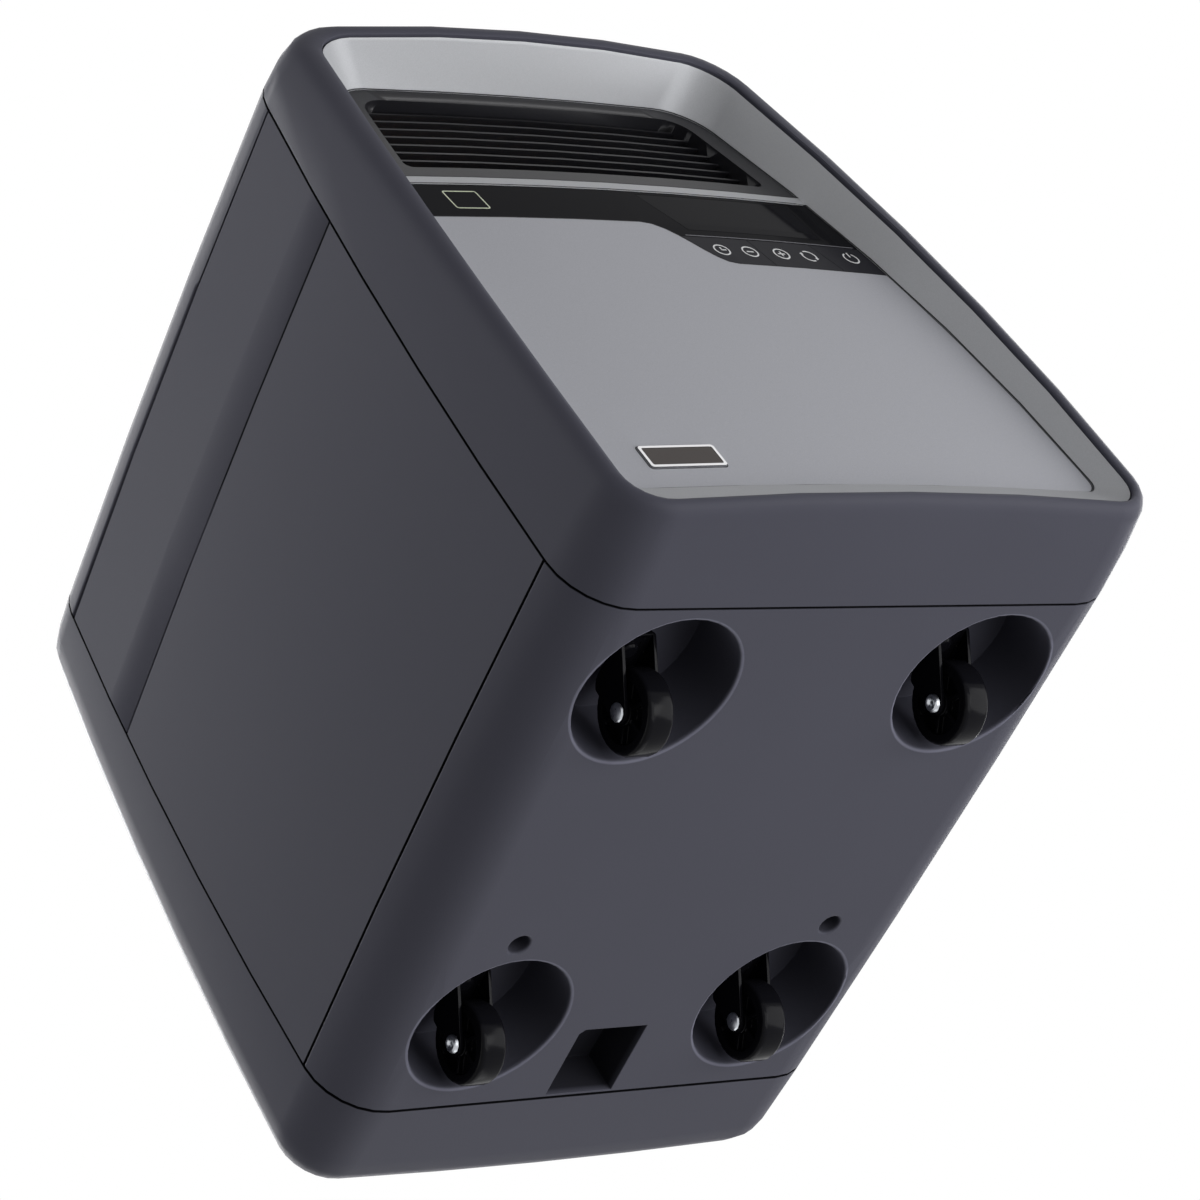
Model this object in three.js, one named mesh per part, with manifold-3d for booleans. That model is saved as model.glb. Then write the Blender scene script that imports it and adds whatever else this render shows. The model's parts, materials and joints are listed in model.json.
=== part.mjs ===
// Infrared quartz space heater on four swivel casters.
// Millimetres, +Z up. The front faces -Y, and X runs to the right of someone facing the front.
// Shapes are drawn with Y = 0 at the front seam and Z = 0 at the underside. They are moved to the floor at
// the end.
import * as THREE from 'three';
import { mergeVertices } from 'three/addons/utils/BufferGeometryUtils.js';
import Module from 'manifold-3d';

const wasm = await Module();
wasm.setup();

// Cabinet
const cabinet = {
  halfWidth: 154,
  topDrawIn: 9.7,
  endDrawIn: 6.6,
  rearDrawIn: 11.4,
  sideBulge: 2,
  depth: 310.2,
  height: 384,
  rearDrop: 9,
  bottomRadius: 31,
  topRadius: 33,
  wall: 3,
};
const middleShare = 0.4935;
const reachShare = 0.469;
const midHeight = cabinet.height * middleShare;
const sideReach = cabinet.height * reachShare;
const clearance = 0.3;
const overrun = 2;
const groove = 1.3;
const tongue = { thickness: 2, reach: 6, root: 5, seamReach: 3.5, seamRoot: 8 };

// Heights of the grooves as shares of the cabinet's height
const grooveShares = { base: 0.0852, middle: 0.695, top: 0.9167 };
const grooveDrop = 9.6;

// Front bezel and the recessed front inside it. Margins are taken from the outline around.
const opening = {
  sideMargin: 13.1,
  topDrawIn: 2.9,
  endDrawIn: 1.6,
  bottomMargin: 9.6,
  topMargin: 13,
  bottomRadius: 19,
  topRadius: 24,
};
const rim = { depth: 45, topSetback: 13, endSetback: 5.7, middleBulge: 10.2, topBulge: 3.1 };
const rimEdge = { taper: 2.6, radius: 10, crestShare: 0.8, lip: 1.2, wallDepth: 9 };
const face = {
  depth: 29.1,
  topSetback: 17.7,
  endSetback: 6.6,
  middleBulge: 4.9,
  topBulge: 0,
  thickness: 3,
  seam: 0.35,
};
const inner = {
  sideMargin: 9.3,
  topDrawIn: 3.8,
  endDrawIn: 2,
  bottomMargin: 20.9,
  topMargin: 11,
  bottomRadius: 9,
  topRadius: 25,
};
const frame = { setback: 2.4, lip: 1.2, wall: 1.6, flange: 7, flangeThickness: 2, stripProud: 0.4 };

// Outlet grille
const vent = {
  border: 13.6,
  bottomMargin: 8.5,
  topMargin: 10.5,
  bottomRadius: 4,
  topRadius: 14,
  depth: 16,
};
const louvre = { pitch: 7.67, thickness: 1.2, setback: 6, depth: 9, rise: 3, topMargin: 2.8 };

// Heights and places on the front, as shares of the cabinet's height and of the front's half width
const frontShares = {
  stripBottom: 0.7,
  stripTop: 0.7174,
  stepHigh: 0.625,
  stepLow: 0.5365,
  keyLine: 0.595,
  windowBottom: 0.6104,
  windowTop: 0.6927,
};
const stepShares = { startShare: -0.005, pullShare: 0.144, pushShare: 0.167, endShare: 0.281 };
const keyEdgeShares = [
  { highShare: -0.3, lowShare: -0.3 },
  { highShare: 0.428, lowShare: 0.46 },
  { highShare: 0.722, lowShare: 0.785 },
  { highShare: 1.2, lowShare: 1.2 },
];
const windowShares = { leftTop: 0.1, leftBottom: 0.19, rightTop: 0.81, rightBottom: 0.815 };
const key = { thickness: 2, travel: 0.8, plunger: 4 };
const keyCentreShares = [0.325, 0.605, 0.875];
const badge = { width: 40.7, height: 14.5, frame: 1.4, depth: 1.4, recess: 0.8, radius: 1.6 };
const badgeCentreShares = { x: -0.708, z: 0.1348 };

// Rear shell
const rear = {
  depth: 50,
  topSetback: 9.9,
  endSetback: 0,
  middleBulge: 4.5,
  topBulge: 0,
  edge: 24,
  taper: 1.8,
};
const intake = {
  sideMargin: 66,
  bottomShare: 0.42,
  topShare: 0.76,
  radius: 10,
  slat: 3,
  pitch: 10,
  depth: 6,
};
const filter = { thickness: 6, margin: 4 };

// Underside
const well = {
  radius: 41.2,
  lip: 2,
  depth: 36,
  wall: 2.5,
  frontSideMargin: 62.7,
  frontMargin: 48.4,
  rearSideMargin: 71.3,
  rearMargin: 53.7,
};
const pocket = {
  left: 26.3,
  right: 12.3,
  length: 45.5,
  depth: 23,
  wall: 2.5,
  chamfer: 1.8,
};
const screw = {
  recess: 5.6,
  head: 4.2,
  headHeight: 2.4,
  shank: 2,
  length: 16,
  seat: 13,
  rearMargin: 106.5,
  boss: 8.5,
};
const screwShares = {
  faceShare: 0.6,
  shoulderShare: 0.5,
  armShare: 0.5,
  slotShare: 0.12,
  slotDepthShare: 0.4,
};

// Caster
const wheel = {
  radius: 20,
  width: 14.5,
  hub: 6,
  rimInner: 14.6,
  web: 3.4,
  edge: 2.6,
  spokes: 6,
  spoke: 2,
};
const caster = { axleHeight: 6, trail: 17, bearingGap: 0.7 };
const fork = {
  plate: 1.8,
  top: 3,
  frontReach: 10.5,
  skirt: 4,
  boss: 5.5,
  bridgeGap: 1.3,
  rearReach: 14,
  cheekReach: 20.5,
  roundRadius: 5,
};
const axle = { radius: 2.5, head: 4.6, headHeight: 1.8, bore: 1.5 };
const axleShares = {
  domeShare: 0.55,
  shoulderShare: 0.9,
  rollShare: 0.7,
  highShare: 0.85,
  lowShare: 0.4,
};
const kingpin = {
  radius: 4,
  head: 4.6,
  headHeight: 1.8,
  faceShare: 0.7,
  socketWall: 3.4,
  collar: 8,
  flange: 10,
  flangeHeight: 2,
};

// Inside
const deck = {
  heightShare: 0.7187,
  thickness: 1.5,
  flange: 20,
  frontMargin: 22,
  rearMargin: 24,
  sideGap: 0.75,
};
const duct = { sideMargin: 48, wall: 1.2, height: 74, length: 118 };
const tube = { radius: 6, count: 3, pitch: 20, cap: 7, capLength: 12, place: 58 };
const holder = { thickness: 6, width: 26 };
const reflector = { thickness: 1, setback: 24, slots: 5, slot: 6 };
const blower = {
  radius: 30,
  sideMargin: 79,
  blades: 14,
  blade: 1.6,
  bladeDepth: 9,
  disc: 2.4,
  hub: 5,
  wall: 2,
};
const housing = { gap: 5, mouth: 34 };
const motor = { radius: 21, length: 26, shaft: 3 };
const bracket = { thickness: 2, width: 30 };
const board = { thickness: 1.6, setback: 16, sideMargin: 10, topMargin: 1.5, part: 5, margin: 5 };
const post = { radius: 3, seat: 9 };
const supply = { width: 90, length: 70, height: 10, partHeight: 16, part: 18 };
const cutout = { radius: 7, height: 6, tab: 24 };
const tipSwitch = { width: 16, length: 22, height: 14, foot: 3, gap: 11.5 };
const gland = { radius: 6, flange: 9, flangeHeight: 3, length: 14, bore: 3.4 };
const glandShares = { heightShare: 0.14, xShare: 0.5, edgeShare: 0.9 };
const rearScrewShares = { heightShare: 0.86, xShare: 0.62 };

// Smoothness of the round stretches
const steps = {
  bottom: 2,
  corner: 6,
  side: 5,
  top: 2,
  station: 3,
  edge: 4,
  face: 8,
  back: 4,
  well: 36,
  round: 16,
  wheel: 28,
  pin: 12,
  small: 8,
  fine: 2,
};

const rise = (z) => (z - midHeight) / sideReach;
const innerHalfWidth = cabinet.halfWidth - opening.sideMargin - inner.sideMargin;
const mergeShare = 1e-4;
const backMiddleShare = 0.5;
const share = (value) => value * cabinet.height;
const across = (value) => value * innerHalfWidth;

// Solids

// Solid of a closed geometry, with its faces turned outwards
function solidOf(geometry) {
  const plain = geometry.clone();
  plain.deleteAttribute('normal');
  plain.deleteAttribute('uv');
  const merged = mergeVertices(plain, mergeShare * cabinet.wall);
  const { position } = merged.attributes;
  const index = merged.index.array;
  const corner = (i) => new THREE.Vector3().fromBufferAttribute(position, index[i]);
  let volume = 0;
  for (let i = 0; i < index.length; i += 3) {
    volume += corner(i).dot(corner(i + 1).cross(corner(i + 2)));
  }
  return new wasm.Manifold(new wasm.Mesh({
    numProp: 3,
    vertProperties: new Float32Array(position.array),
    triVerts: new Uint32Array(volume > 0 ? index : index.slice().reverse()),
  }));
}

// Closed surface through rings of points. A ring of one point closes an end, a longer end ring gets a flat
// cap seen along the given axis, and joined rings make a loop.
function skin(rings, { joined = false, along = 1 } = {}) {
  const positions = rings.flat();
  const starts = [];
  rings.reduce((start, ring) => {
    starts.push(start);
    return start + ring.length;
  }, 0);
  const index = [];
  const last = joined ? rings.length : rings.length - 1;
  for (let r = 0; r < last; r += 1) {
    const next = (r + 1) % rings.length;
    const count = Math.max(rings[r].length, rings[next].length);
    const here = (i) => starts[r] + (rings[r].length === 1 ? 0 : i % count);
    const there = (i) => starts[next] + (rings[next].length === 1 ? 0 : i % count);
    for (let i = 0; i < count; i += 1) {
      if (rings[r].length > 1) index.push(here(i), here(i + 1), there(i));
      if (rings[next].length > 1) index.push(here(i + 1), there(i + 1), there(i));
    }
  }
  const cap = (r, turn) => {
    if (joined || rings[r].length === 1) return;
    const flat = rings[r].map((p) => new THREE.Vector2(...p.filter((_, axis) => axis !== along)));
    for (const [a, b, c] of THREE.ShapeUtils.triangulateShape(flat, [])) {
      const triangle = [starts[r] + a, starts[r] + b, starts[r] + c];
      const way = THREE.ShapeUtils.isClockWise(flat) === turn;
      index.push(...(way ? triangle : triangle.reverse()));
    }
  };
  cap(0, true);
  cap(rings.length - 1, false);
  const geometry = new THREE.BufferGeometry();
  geometry.setAttribute('position', new THREE.Float32BufferAttribute(positions.flat(), 3));
  geometry.setIndex(index);
  return solidOf(geometry);
}

function geometryOf(solid) {
  const mesh = solid.getMesh();
  const geometry = new THREE.BufferGeometry();
  geometry.setAttribute('position', new THREE.BufferAttribute(new Float32Array(mesh.vertProperties), 3));
  geometry.setIndex(new THREE.BufferAttribute(new Uint32Array(mesh.triVerts), 1));
  geometry.computeVertexNormals();
  return geometry;
}

const union = (...solids) => solids.reduce((sum, solid) => sum.add(solid));

// Box from its lowest to its highest corner
function block([x0, y0, z0], [x1, y1, z1]) {
  const box = new THREE.BoxGeometry(x1 - x0, y1 - y0, z1 - z0);
  return solidOf(box.translate((x0 + x1) / 2, (y0 + y1) / 2, (z0 + z1) / 2));
}

// Prism of a shape drawn in X and Z, between two places along Y
function prism(shape, front, back, curveSegments = steps.small) {
  const solid = new THREE.ExtrudeGeometry(shape, { depth: back - front, bevelEnabled: false, curveSegments });
  return solidOf(solid.rotateX(Math.PI / 2).translate(0, back, 0));
}

// Prism of a shape drawn in Y and Z, between two places along X
function sidePrism(shape, left, right, curveSegments = steps.small) {
  const solid = new THREE.ExtrudeGeometry(shape, { depth: right - left, bevelEnabled: false, curveSegments });
  return solidOf(solid.rotateX(Math.PI / 2).rotateZ(Math.PI / 2).translate(left, 0, 0));
}

// Turned solid about the Z axis through a closed profile of radius and height
function turned(profile, segments = steps.round) {
  const points = profile.map(([radius, height]) => new THREE.Vector2(radius, height));
  return new THREE.LatheGeometry(points, segments).rotateX(Math.PI / 2);
}

const closed = (profile) => [...profile, profile[0]];

function disc(radius, low, high, segments = steps.round) {
  return turned([[0, low], [radius, low], [radius, high], [0, high]], segments);
}

const shapeFrom = (points) => new THREE.Shape(points.map(([a, b]) => new THREE.Vector2(a, b)));

function roundedRectangle(left, bottom, right, top, radius) {
  const shape = new THREE.Shape();
  shape.moveTo(left + radius, bottom);
  shape.lineTo(right - radius, bottom);
  shape.absarc(right - radius, bottom + radius, radius, -Math.PI / 2, 0);
  shape.lineTo(right, top - radius);
  shape.absarc(right - radius, top - radius, radius, 0, Math.PI / 2);
  shape.lineTo(left + radius, top);
  shape.absarc(left + radius, top - radius, radius, Math.PI / 2, Math.PI);
  shape.lineTo(left, bottom + radius);
  shape.absarc(left + radius, bottom + radius, radius, Math.PI, Math.PI * 1.5);
  return shape;
}

function circleShape(x, z, radius) {
  const shape = new THREE.Shape();
  shape.absarc(x, z, radius, 0, Math.PI * 2);
  return shape;
}

// Outlines

// Half width of a form at a height, and how fast it grows with height
const halfAt = (form, z) => form.halfWidth - form.topDrawIn * rise(z) - form.endDrawIn * rise(z) ** 2;
const slopeAt = (form, z) => -(form.topDrawIn + 2 * form.endDrawIn * rise(z)) / sideReach;
const tiltAt = (form, z) => Math.atan(-slopeAt(form, z));

// Rounded corner that touches the side and a flat edge at the given height
function cornerOf(form, edge, radius, way) {
  const centreZ = edge + way * radius;
  let z = centreZ;
  for (let i = 0; i < 4; i += 1) z = centreZ + radius * Math.sin(tiltAt(form, z));
  const tilt = tiltAt(form, z);
  return { x: halfAt(form, z) - radius * Math.cos(tilt), z: centreZ, side: z, tilt };
}

// Closed outline as X and Z pairs, from the bottom's middle round by the right, drawn in by an inset.
// Outlines of all forms have the same points in the same order, so they can be joined.
function outline(form, inset = 0) {
  const low = cornerOf(form, form.bottom, form.bottomRadius, 1);
  const high = cornerOf(form, form.top, form.topRadius, -1);
  const points = [];
  const arc = (corner, radius, from, to) => {
    for (let i = 0; i <= steps.corner; i += 1) {
      const angle = THREE.MathUtils.lerp(from, to, i / steps.corner);
      points.push([corner.x + radius * Math.cos(angle), corner.z + radius * Math.sin(angle)]);
    }
  };
  for (let i = 0; i < steps.bottom; i += 1) points.push([low.x * i / steps.bottom, form.bottom + inset]);
  arc(low, form.bottomRadius - inset, -Math.PI / 2, low.tilt);
  for (let i = 1; i < steps.side; i += 1) {
    const z = THREE.MathUtils.lerp(low.side, high.side, i / steps.side);
    const tilt = tiltAt(form, z);
    points.push([halfAt(form, z) - inset * Math.cos(tilt), z - inset * Math.sin(tilt)]);
  }
  arc(high, form.topRadius - inset, high.tilt, Math.PI / 2);
  for (let i = 1; i <= steps.top; i += 1) points.push([high.x * (1 - i / steps.top), form.top - inset]);
  const mirrored = points.slice(1, -1).reverse().map(([x, z]) => [-x, z]);
  return [...points, ...mirrored];
}

// Cabinet outline at a distance behind the front seam
function cabinetForm(y) {
  const along = y / cabinet.depth;
  const bulge = cabinet.sideBulge * (1 - (2 * along - 1) ** 2);
  return {
    halfWidth: cabinet.halfWidth - cabinet.rearDrawIn * along + bulge,
    topDrawIn: cabinet.topDrawIn,
    endDrawIn: cabinet.endDrawIn,
    bottom: 0,
    top: cabinet.height - cabinet.rearDrop * along,
    bottomRadius: cabinet.bottomRadius,
    topRadius: cabinet.topRadius,
  };
}

// Form that lies inside another at its own margins
function formWithin(form, margins) {
  return {
    halfWidth: form.halfWidth - margins.sideMargin,
    topDrawIn: form.topDrawIn + margins.topDrawIn,
    endDrawIn: form.endDrawIn + margins.endDrawIn,
    bottom: form.bottom + margins.bottomMargin,
    top: form.top - margins.topMargin,
    bottomRadius: margins.bottomRadius,
    topRadius: margins.topRadius,
  };
}

const openingForm = formWithin(cabinetForm(0), opening);
const innerForm = formWithin(openingForm, inner);
const ventForm = {
  ...innerForm,
  halfWidth: innerForm.halfWidth - vent.border,
  bottom: share(frontShares.stripTop) + vent.bottomMargin,
  top: innerForm.top - vent.topMargin,
  bottomRadius: vent.bottomRadius,
  topRadius: vent.topRadius,
};

// How far a curved face stands from its seam at a place: rounded across and leaning back with height
function standAt(surface, x, z) {
  const bulge = (surface.middleBulge + surface.topBulge * rise(z)) * (1 - (x / cabinet.halfWidth) ** 2);
  return surface.depth - surface.topSetback * rise(z) - surface.endSetback * rise(z) ** 2 + bulge;
}

const faceY = (x, z) => -standAt(face, x, z);

// Body shells

// Solid of the whole cabinet between its seams, drawn in by an inset and with both ends moved out
function cabinetSolid(inset, extra = 0) {
  const rings = [];
  const start = groove / 2 - extra;
  const end = cabinet.depth - groove / 2 + extra;
  for (let i = 0; i <= steps.station; i += 1) {
    const y = THREE.MathUtils.lerp(start, end, i / steps.station);
    rings.push(outline(cabinetForm(y), inset).map(([x, z]) => [x, y, z]));
  }
  return skin(rings);
}

const outside = cabinetSolid(0);
const shellWall = outside.subtract(cabinetSolid(cabinet.wall, overrun));
const tongueOuter = cabinet.wall + clearance;
const tongueInner = tongueOuter + tongue.thickness;
// The tongues of the bezel and of the rear shell lie inside those of the panels
const seamTongueOuter = tongueInner + clearance;
const seamTongueInner = seamTongueOuter + tongue.thickness;
const tongueWall = cabinetSolid(tongueOuter).subtract(cabinetSolid(tongueInner, overrun));
const rootWall = cabinetSolid(cabinet.wall / 2).subtract(cabinetSolid(tongueInner, overrun));

const groovesAt = (value, y) => share(value) - grooveDrop * y / cabinet.depth;

// Region between two lines that fall towards the rear, each given by its groove share and an offset
function band(low, high) {
  const ends = [-overrun, cabinet.depth + overrun];
  const line = ({ value, level, offset }, y) => (level ?? groovesAt(value, y)) + offset;
  const shape = shapeFrom([
    ...ends.map((y) => [y, line(low, y)]),
    ...ends.reverse().map((y) => [y, line(high, y)]),
  ]);
  return sidePrism(shape, -cabinet.halfWidth * 2, cabinet.halfWidth * 2);
}

const above = cabinet.height + overrun;
const baseLevel = share(grooveShares.base);
const topLine = (offset) => ({ value: grooveShares.top, offset });
const middleLine = (offset) => ({ value: grooveShares.middle, offset });
const baseLine = (offset) => ({ level: baseLevel, offset });
const ceiling = { level: above, offset: 0 };
const ground = { level: 0, offset: -overrun };

function topCover() {
  const wallPart = shellWall.intersect(band(topLine(groove / 2), ceiling));
  const tonguePart = tongueWall.intersect(band(topLine(-tongue.reach), topLine(tongue.root)));
  const rootPart = rootWall.intersect(band(topLine(groove / 2), topLine(tongue.root)));
  return union(wallPart, tonguePart, rootPart);
}

function sideHalf(solid, side) {
  const reach = cabinet.halfWidth * 2;
  const low = [side < 0 ? -reach : 0, -overrun, -overrun];
  const high = [side < 0 ? 0 : reach, cabinet.depth + overrun, above];
  return solid.intersect(block(low, high));
}

function upperPanel(side) {
  const wallPart = shellWall.intersect(band(middleLine(groove / 2), topLine(-groove / 2)));
  const tonguePart = tongueWall.intersect(band(middleLine(-tongue.reach), middleLine(tongue.root)));
  const rootPart = rootWall.intersect(band(middleLine(groove / 2), middleLine(tongue.root)));
  return sideHalf(union(wallPart, tonguePart, rootPart), side);
}

function lowerPanel(side) {
  return sideHalf(shellWall.intersect(band(baseLine(groove / 2), middleLine(-groove / 2))), side);
}

const frontWellX = cabinet.halfWidth - well.frontSideMargin;
const rearWellX = cabinet.halfWidth - well.rearSideMargin;
const rearWellY = cabinet.depth - well.rearMargin;
const screwY = cabinet.depth - screw.rearMargin;
const wellPlaces = [
  { name: 'front_left', x: -frontWellX, y: well.frontMargin, side: -1 },
  { name: 'front_right', x: frontWellX, y: well.frontMargin, side: 1 },
  { name: 'rear_left', x: -rearWellX, y: rearWellY, side: 1 },
  { name: 'rear_right', x: rearWellX, y: rearWellY, side: -1 },
];
const screwPlaces = [
  { name: 'left', x: -frontWellX, y: screwY },
  { name: 'right', x: frontWellX, y: screwY },
];

const socketRadius = kingpin.radius + clearance + kingpin.socketWall;

// Caster well with a rounded lip, open downwards
function wellCut() {
  const profile = [[0, -overrun], [well.radius + well.lip, -overrun]];
  for (let i = 0; i <= steps.fine; i += 1) {
    const angle = Math.PI / 2 * i / steps.fine;
    const out = well.lip * (1 - Math.sin(angle));
    profile.push([well.radius + out, well.lip * (1 - Math.cos(angle))]);
  }
  profile.push([well.radius, well.depth], [0, well.depth]);
  return solidOf(turned(profile, steps.well));
}

// Screw recess with a rounded mouth, and the shank's hole through its seat
function screwCut() {
  const lip = screw.recess / steps.small;
  const mouth = screw.recess + lip;
  const profile = [[0, -overrun], [mouth, -overrun], [mouth, 0], [screw.recess, lip]];
  profile.push([screw.recess, screw.seat], [0, screw.seat]);
  const shank = solidOf(disc(screw.shank + clearance, 0, screw.seat + cabinet.wall * 2));
  return solidOf(turned(profile)).add(shank);
}

function baseCover() {
  const wallPart = shellWall.intersect(band(ground, baseLine(-groove / 2)));
  const tonguePart = tongueWall.intersect(band(baseLine(-tongue.root), baseLine(tongue.reach)));
  const rootPart = rootWall.intersect(band(baseLine(-tongue.root - groove), baseLine(-groove / 2)));
  const adds = [];
  const cuts = [];
  const cup = solidOf(disc(well.radius + well.wall, 0, well.depth + well.wall, steps.well));
  const pinHole = solidOf(disc(socketRadius + clearance, 0, well.depth + well.wall + overrun));
  for (const { x, y } of wellPlaces) {
    adds.push(cup.translate([x, y, 0]));
    cuts.push(wellCut().translate([x, y, 0]), pinHole.translate([x, y, 0]));
  }
  for (const { x, y } of screwPlaces) {
    adds.push(solidOf(disc(screw.boss, 0, screw.seat + cabinet.wall)).translate([x, y, 0]));
    cuts.push(screwCut().translate([x, y, 0]));
  }
  const pocketBack = cabinet.depth - groove / 2 - pocket.wall / 2;
  const pocketFront = cabinet.depth - pocket.length;
  adds.push(block(
    [-pocket.left - pocket.wall, pocketFront - pocket.wall, 0],
    [pocket.right + pocket.wall, cabinet.depth - groove / 2, pocket.depth + pocket.wall],
  ));
  const corner = block(
    [-pocket.chamfer, -pocket.chamfer, -overrun * 2],
    [pocket.chamfer, pocket.chamfer, pocket.depth + overrun],
  ).rotate([0, 0, 45]).translate([-pocket.left, pocketFront, 0]);
  cuts.push(block([-pocket.left, pocketFront, -overrun], [pocket.right, pocketBack, pocket.depth])
    .subtract(corner));
  for (const [x, y] of supplyCorners()) {
    adds.push(solidOf(disc(post.radius, cabinet.wall / 2, cabinet.wall + supply.height, steps.small))
      .translate([x, y, 0]));
  }
  const body = union(wallPart, tonguePart, rootPart, ...adds.map((solid) => solid.intersect(outside)));
  return cuts.reduce((rest, cut) => rest.subtract(cut), body);
}

// Ring lofted between two matched outlines, from profile points that take the distance between them. The
// depth of a point may be a function of its place.
function ringBetween(outer, innerPoints, profile) {
  const rings = profile.map((place) => outer.map(([x, z], i) => {
    const [toX, toZ] = innerPoints[i];
    const gap = Math.hypot(toX - x, toZ - z);
    const { inset, y } = place(gap, [x, z], [toX, toZ]);
    const px = x + (toX - x) * inset / gap;
    const pz = z + (toZ - z) * inset / gap;
    return [px, typeof y === 'function' ? y(px, pz) : y, pz];
  }));
  return skin(rings, { joined: true });
}

function frontBezel() {
  const start = -groove / 2;
  const crest = (to) => -standAt(rim, ...to);
  const crestInset = (gap) => gap * rimEdge.crestShare;
  const profile = [
    () => ({ inset: 0, y: start }),
    (gap, from, to) => ({ inset: rimEdge.taper / 3, y: crest(to) / 2 }),
  ];
  for (let i = 0; i <= steps.edge; i += 1) {
    const angle = Math.PI / 2 * i / steps.edge;
    profile.push((gap, from, to) => ({
      inset: rimEdge.taper + (crestInset(gap) - rimEdge.taper) * (1 - Math.cos(angle)),
      y: crest(to) + rimEdge.radius * (1 - Math.sin(angle)),
    }));
  }
  const wall = cabinet.wall;
  profile.push(
    (gap, from, to) => ({ inset: gap - rimEdge.lip / 3, y: crest(to) + rimEdge.lip / 4 }),
    (gap, from, to) => ({ inset: gap, y: crest(to) + rimEdge.lip }),
    (gap, from, to) => ({ inset: gap, y: crest(to) + rimEdge.wallDepth }),
    (gap, from, to) => ({ inset: gap - wall + clearance * 2, y: crest(to) + rimEdge.wallDepth }),
    (gap, from, to) => ({ inset: gap - wall + clearance * 2, y: crest(to) + wall }),
    (gap, from, to) => ({ inset: (crestInset(gap) + rimEdge.taper + wall) / 2, y: crest(to) + wall }),
    (gap, from, to) => ({ inset: rimEdge.taper + wall, y: crest(to) + rimEdge.radius + wall / 2 }),
    () => ({ inset: wall, y: start - tongue.seamRoot }),
    () => ({ inset: seamTongueInner, y: start - tongue.seamRoot }),
    () => ({ inset: seamTongueInner, y: start - wall }),
    () => ({ inset: wall / 2, y: start - wall }),
    () => ({ inset: wall / 2, y: start }),
  );
  const ring = ringBetween(outline(cabinetForm(0)), outline(openingForm), profile);
  const seamRing = [
    [seamTongueOuter, tongue.seamReach],
    [seamTongueInner, tongue.seamReach],
    [seamTongueInner, start - tongue.seamRoot / 2],
    [wall / 3, start - tongue.seamRoot / 2],
    [wall / 3, start],
    [seamTongueOuter, start],
  ].map(([inset, y]) => outline(cabinetForm(0), inset).map(([x, z]) => [x, y, z]));
  return ring.add(skin(seamRing, { joined: true }));
}

// Curved slab that follows the recessed front, from a depth behind its face to another
function slab(front, back) {
  const rings = [];
  for (let i = 0; i <= steps.face; i += 1) {
    const z = THREE.MathUtils.lerp(0, cabinet.height, i / steps.face);
    const row = [];
    for (let j = 0; j <= steps.face; j += 1) {
      row.push(THREE.MathUtils.lerp(-cabinet.halfWidth, cabinet.halfWidth, j / steps.face));
    }
    const frontRow = row.map((x) => [x, faceY(x, z) + front, z]);
    const backRow = row.slice().reverse().map((x) => [x, faceY(x, z) + back, z]);
    rings.push([...frontRow, ...backRow]);
  }
  return skin(rings, { along: 2 });
}

const deepest = -standAt(face, 0, 0) - overrun * 4;
const farBack = cabinet.depth;
const frontPrism = (shape, curveSegments) => prism(shape, deepest, farBack, curveSegments);

const insideFrame = frontPrism(shapeFrom(outline(innerForm, face.seam)));

// Everything between two heights in front
function level(low, high) {
  const reach = cabinet.halfWidth * 2;
  return block([-reach, deepest, low], [reach, farBack, high]);
}

function frontFrame() {
  const crest = (from) => -standAt(rim, ...from);
  const behind = face.thickness + clearance;
  const under = (depth) => (x, z) => faceY(x, z) + depth;
  const start = clearance;
  const profile = [
    (gap, from) => ({ inset: start, y: crest(from) + frame.setback + frame.lip / 2 }),
    (gap, from) => ({ inset: start + frame.lip / 2, y: crest(from) + frame.setback }),
    (gap, from) => ({ inset: start + frame.lip * 1.5, y: crest(from) + frame.setback + frame.lip }),
    (gap) => ({ inset: gap - frame.lip / 2, y: under(-frame.lip) }),
    (gap) => ({ inset: gap, y: under(0) }),
    (gap) => ({ inset: gap, y: under(behind) }),
    (gap) => ({ inset: gap + frame.flange, y: under(behind) }),
    (gap) => ({ inset: gap + frame.flange, y: under(behind + frame.flangeThickness) }),
    (gap) => ({ inset: gap - frame.wall, y: under(behind + frame.flangeThickness) }),
    (gap, from) => ({ inset: start + frame.lip, y: crest(from) + rimEdge.wallDepth }),
    (gap, from) => ({ inset: start, y: crest(from) + rimEdge.wallDepth }),
  ];
  const ring = ringBetween(outline(openingForm), outline(innerForm), profile);
  const bar = slab(-frame.stripProud, behind + frame.flangeThickness)
    .intersect(frontPrism(shapeFrom(outline(innerForm, -frame.wall / 2))))
    .intersect(level(share(frontShares.stripBottom), share(frontShares.stripTop)));
  return ring.add(bar);
}

// Lower edge of the control strip: straight, an S-shaped step down, and straight again. The region is all
// that lies above the edge, or all below it, moved away from the edge by half a seam.
function stepRegion(isAbove) {
  const way = isAbove ? 1 : -1;
  const shift = way * face.seam / 2;
  const high = share(frontShares.stepHigh) + shift;
  const low = share(frontShares.stepLow) + shift;
  const reach = cabinet.halfWidth * 2;
  const far = isAbove ? above : -overrun;
  const shape = new THREE.Shape();
  shape.moveTo(-reach, high);
  shape.lineTo(across(stepShares.startShare) + shift, high);
  shape.bezierCurveTo(
    across(stepShares.pullShare) + shift, high,
    across(stepShares.pushShare) + shift, low,
    across(stepShares.endShare) + shift, low,
  );
  shape.lineTo(reach, low);
  shape.lineTo(reach, far);
  shape.lineTo(-reach, far);
  return frontPrism(shape);
}

const frontBlank = (front, back) => slab(front, back).intersect(insideFrame);
const keyTop = share(frontShares.keyLine);
const stripLow = share(frontShares.stripBottom) - face.seam;
const plungerHeight = (share(frontShares.stepLow) + keyTop) / 2;

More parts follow.
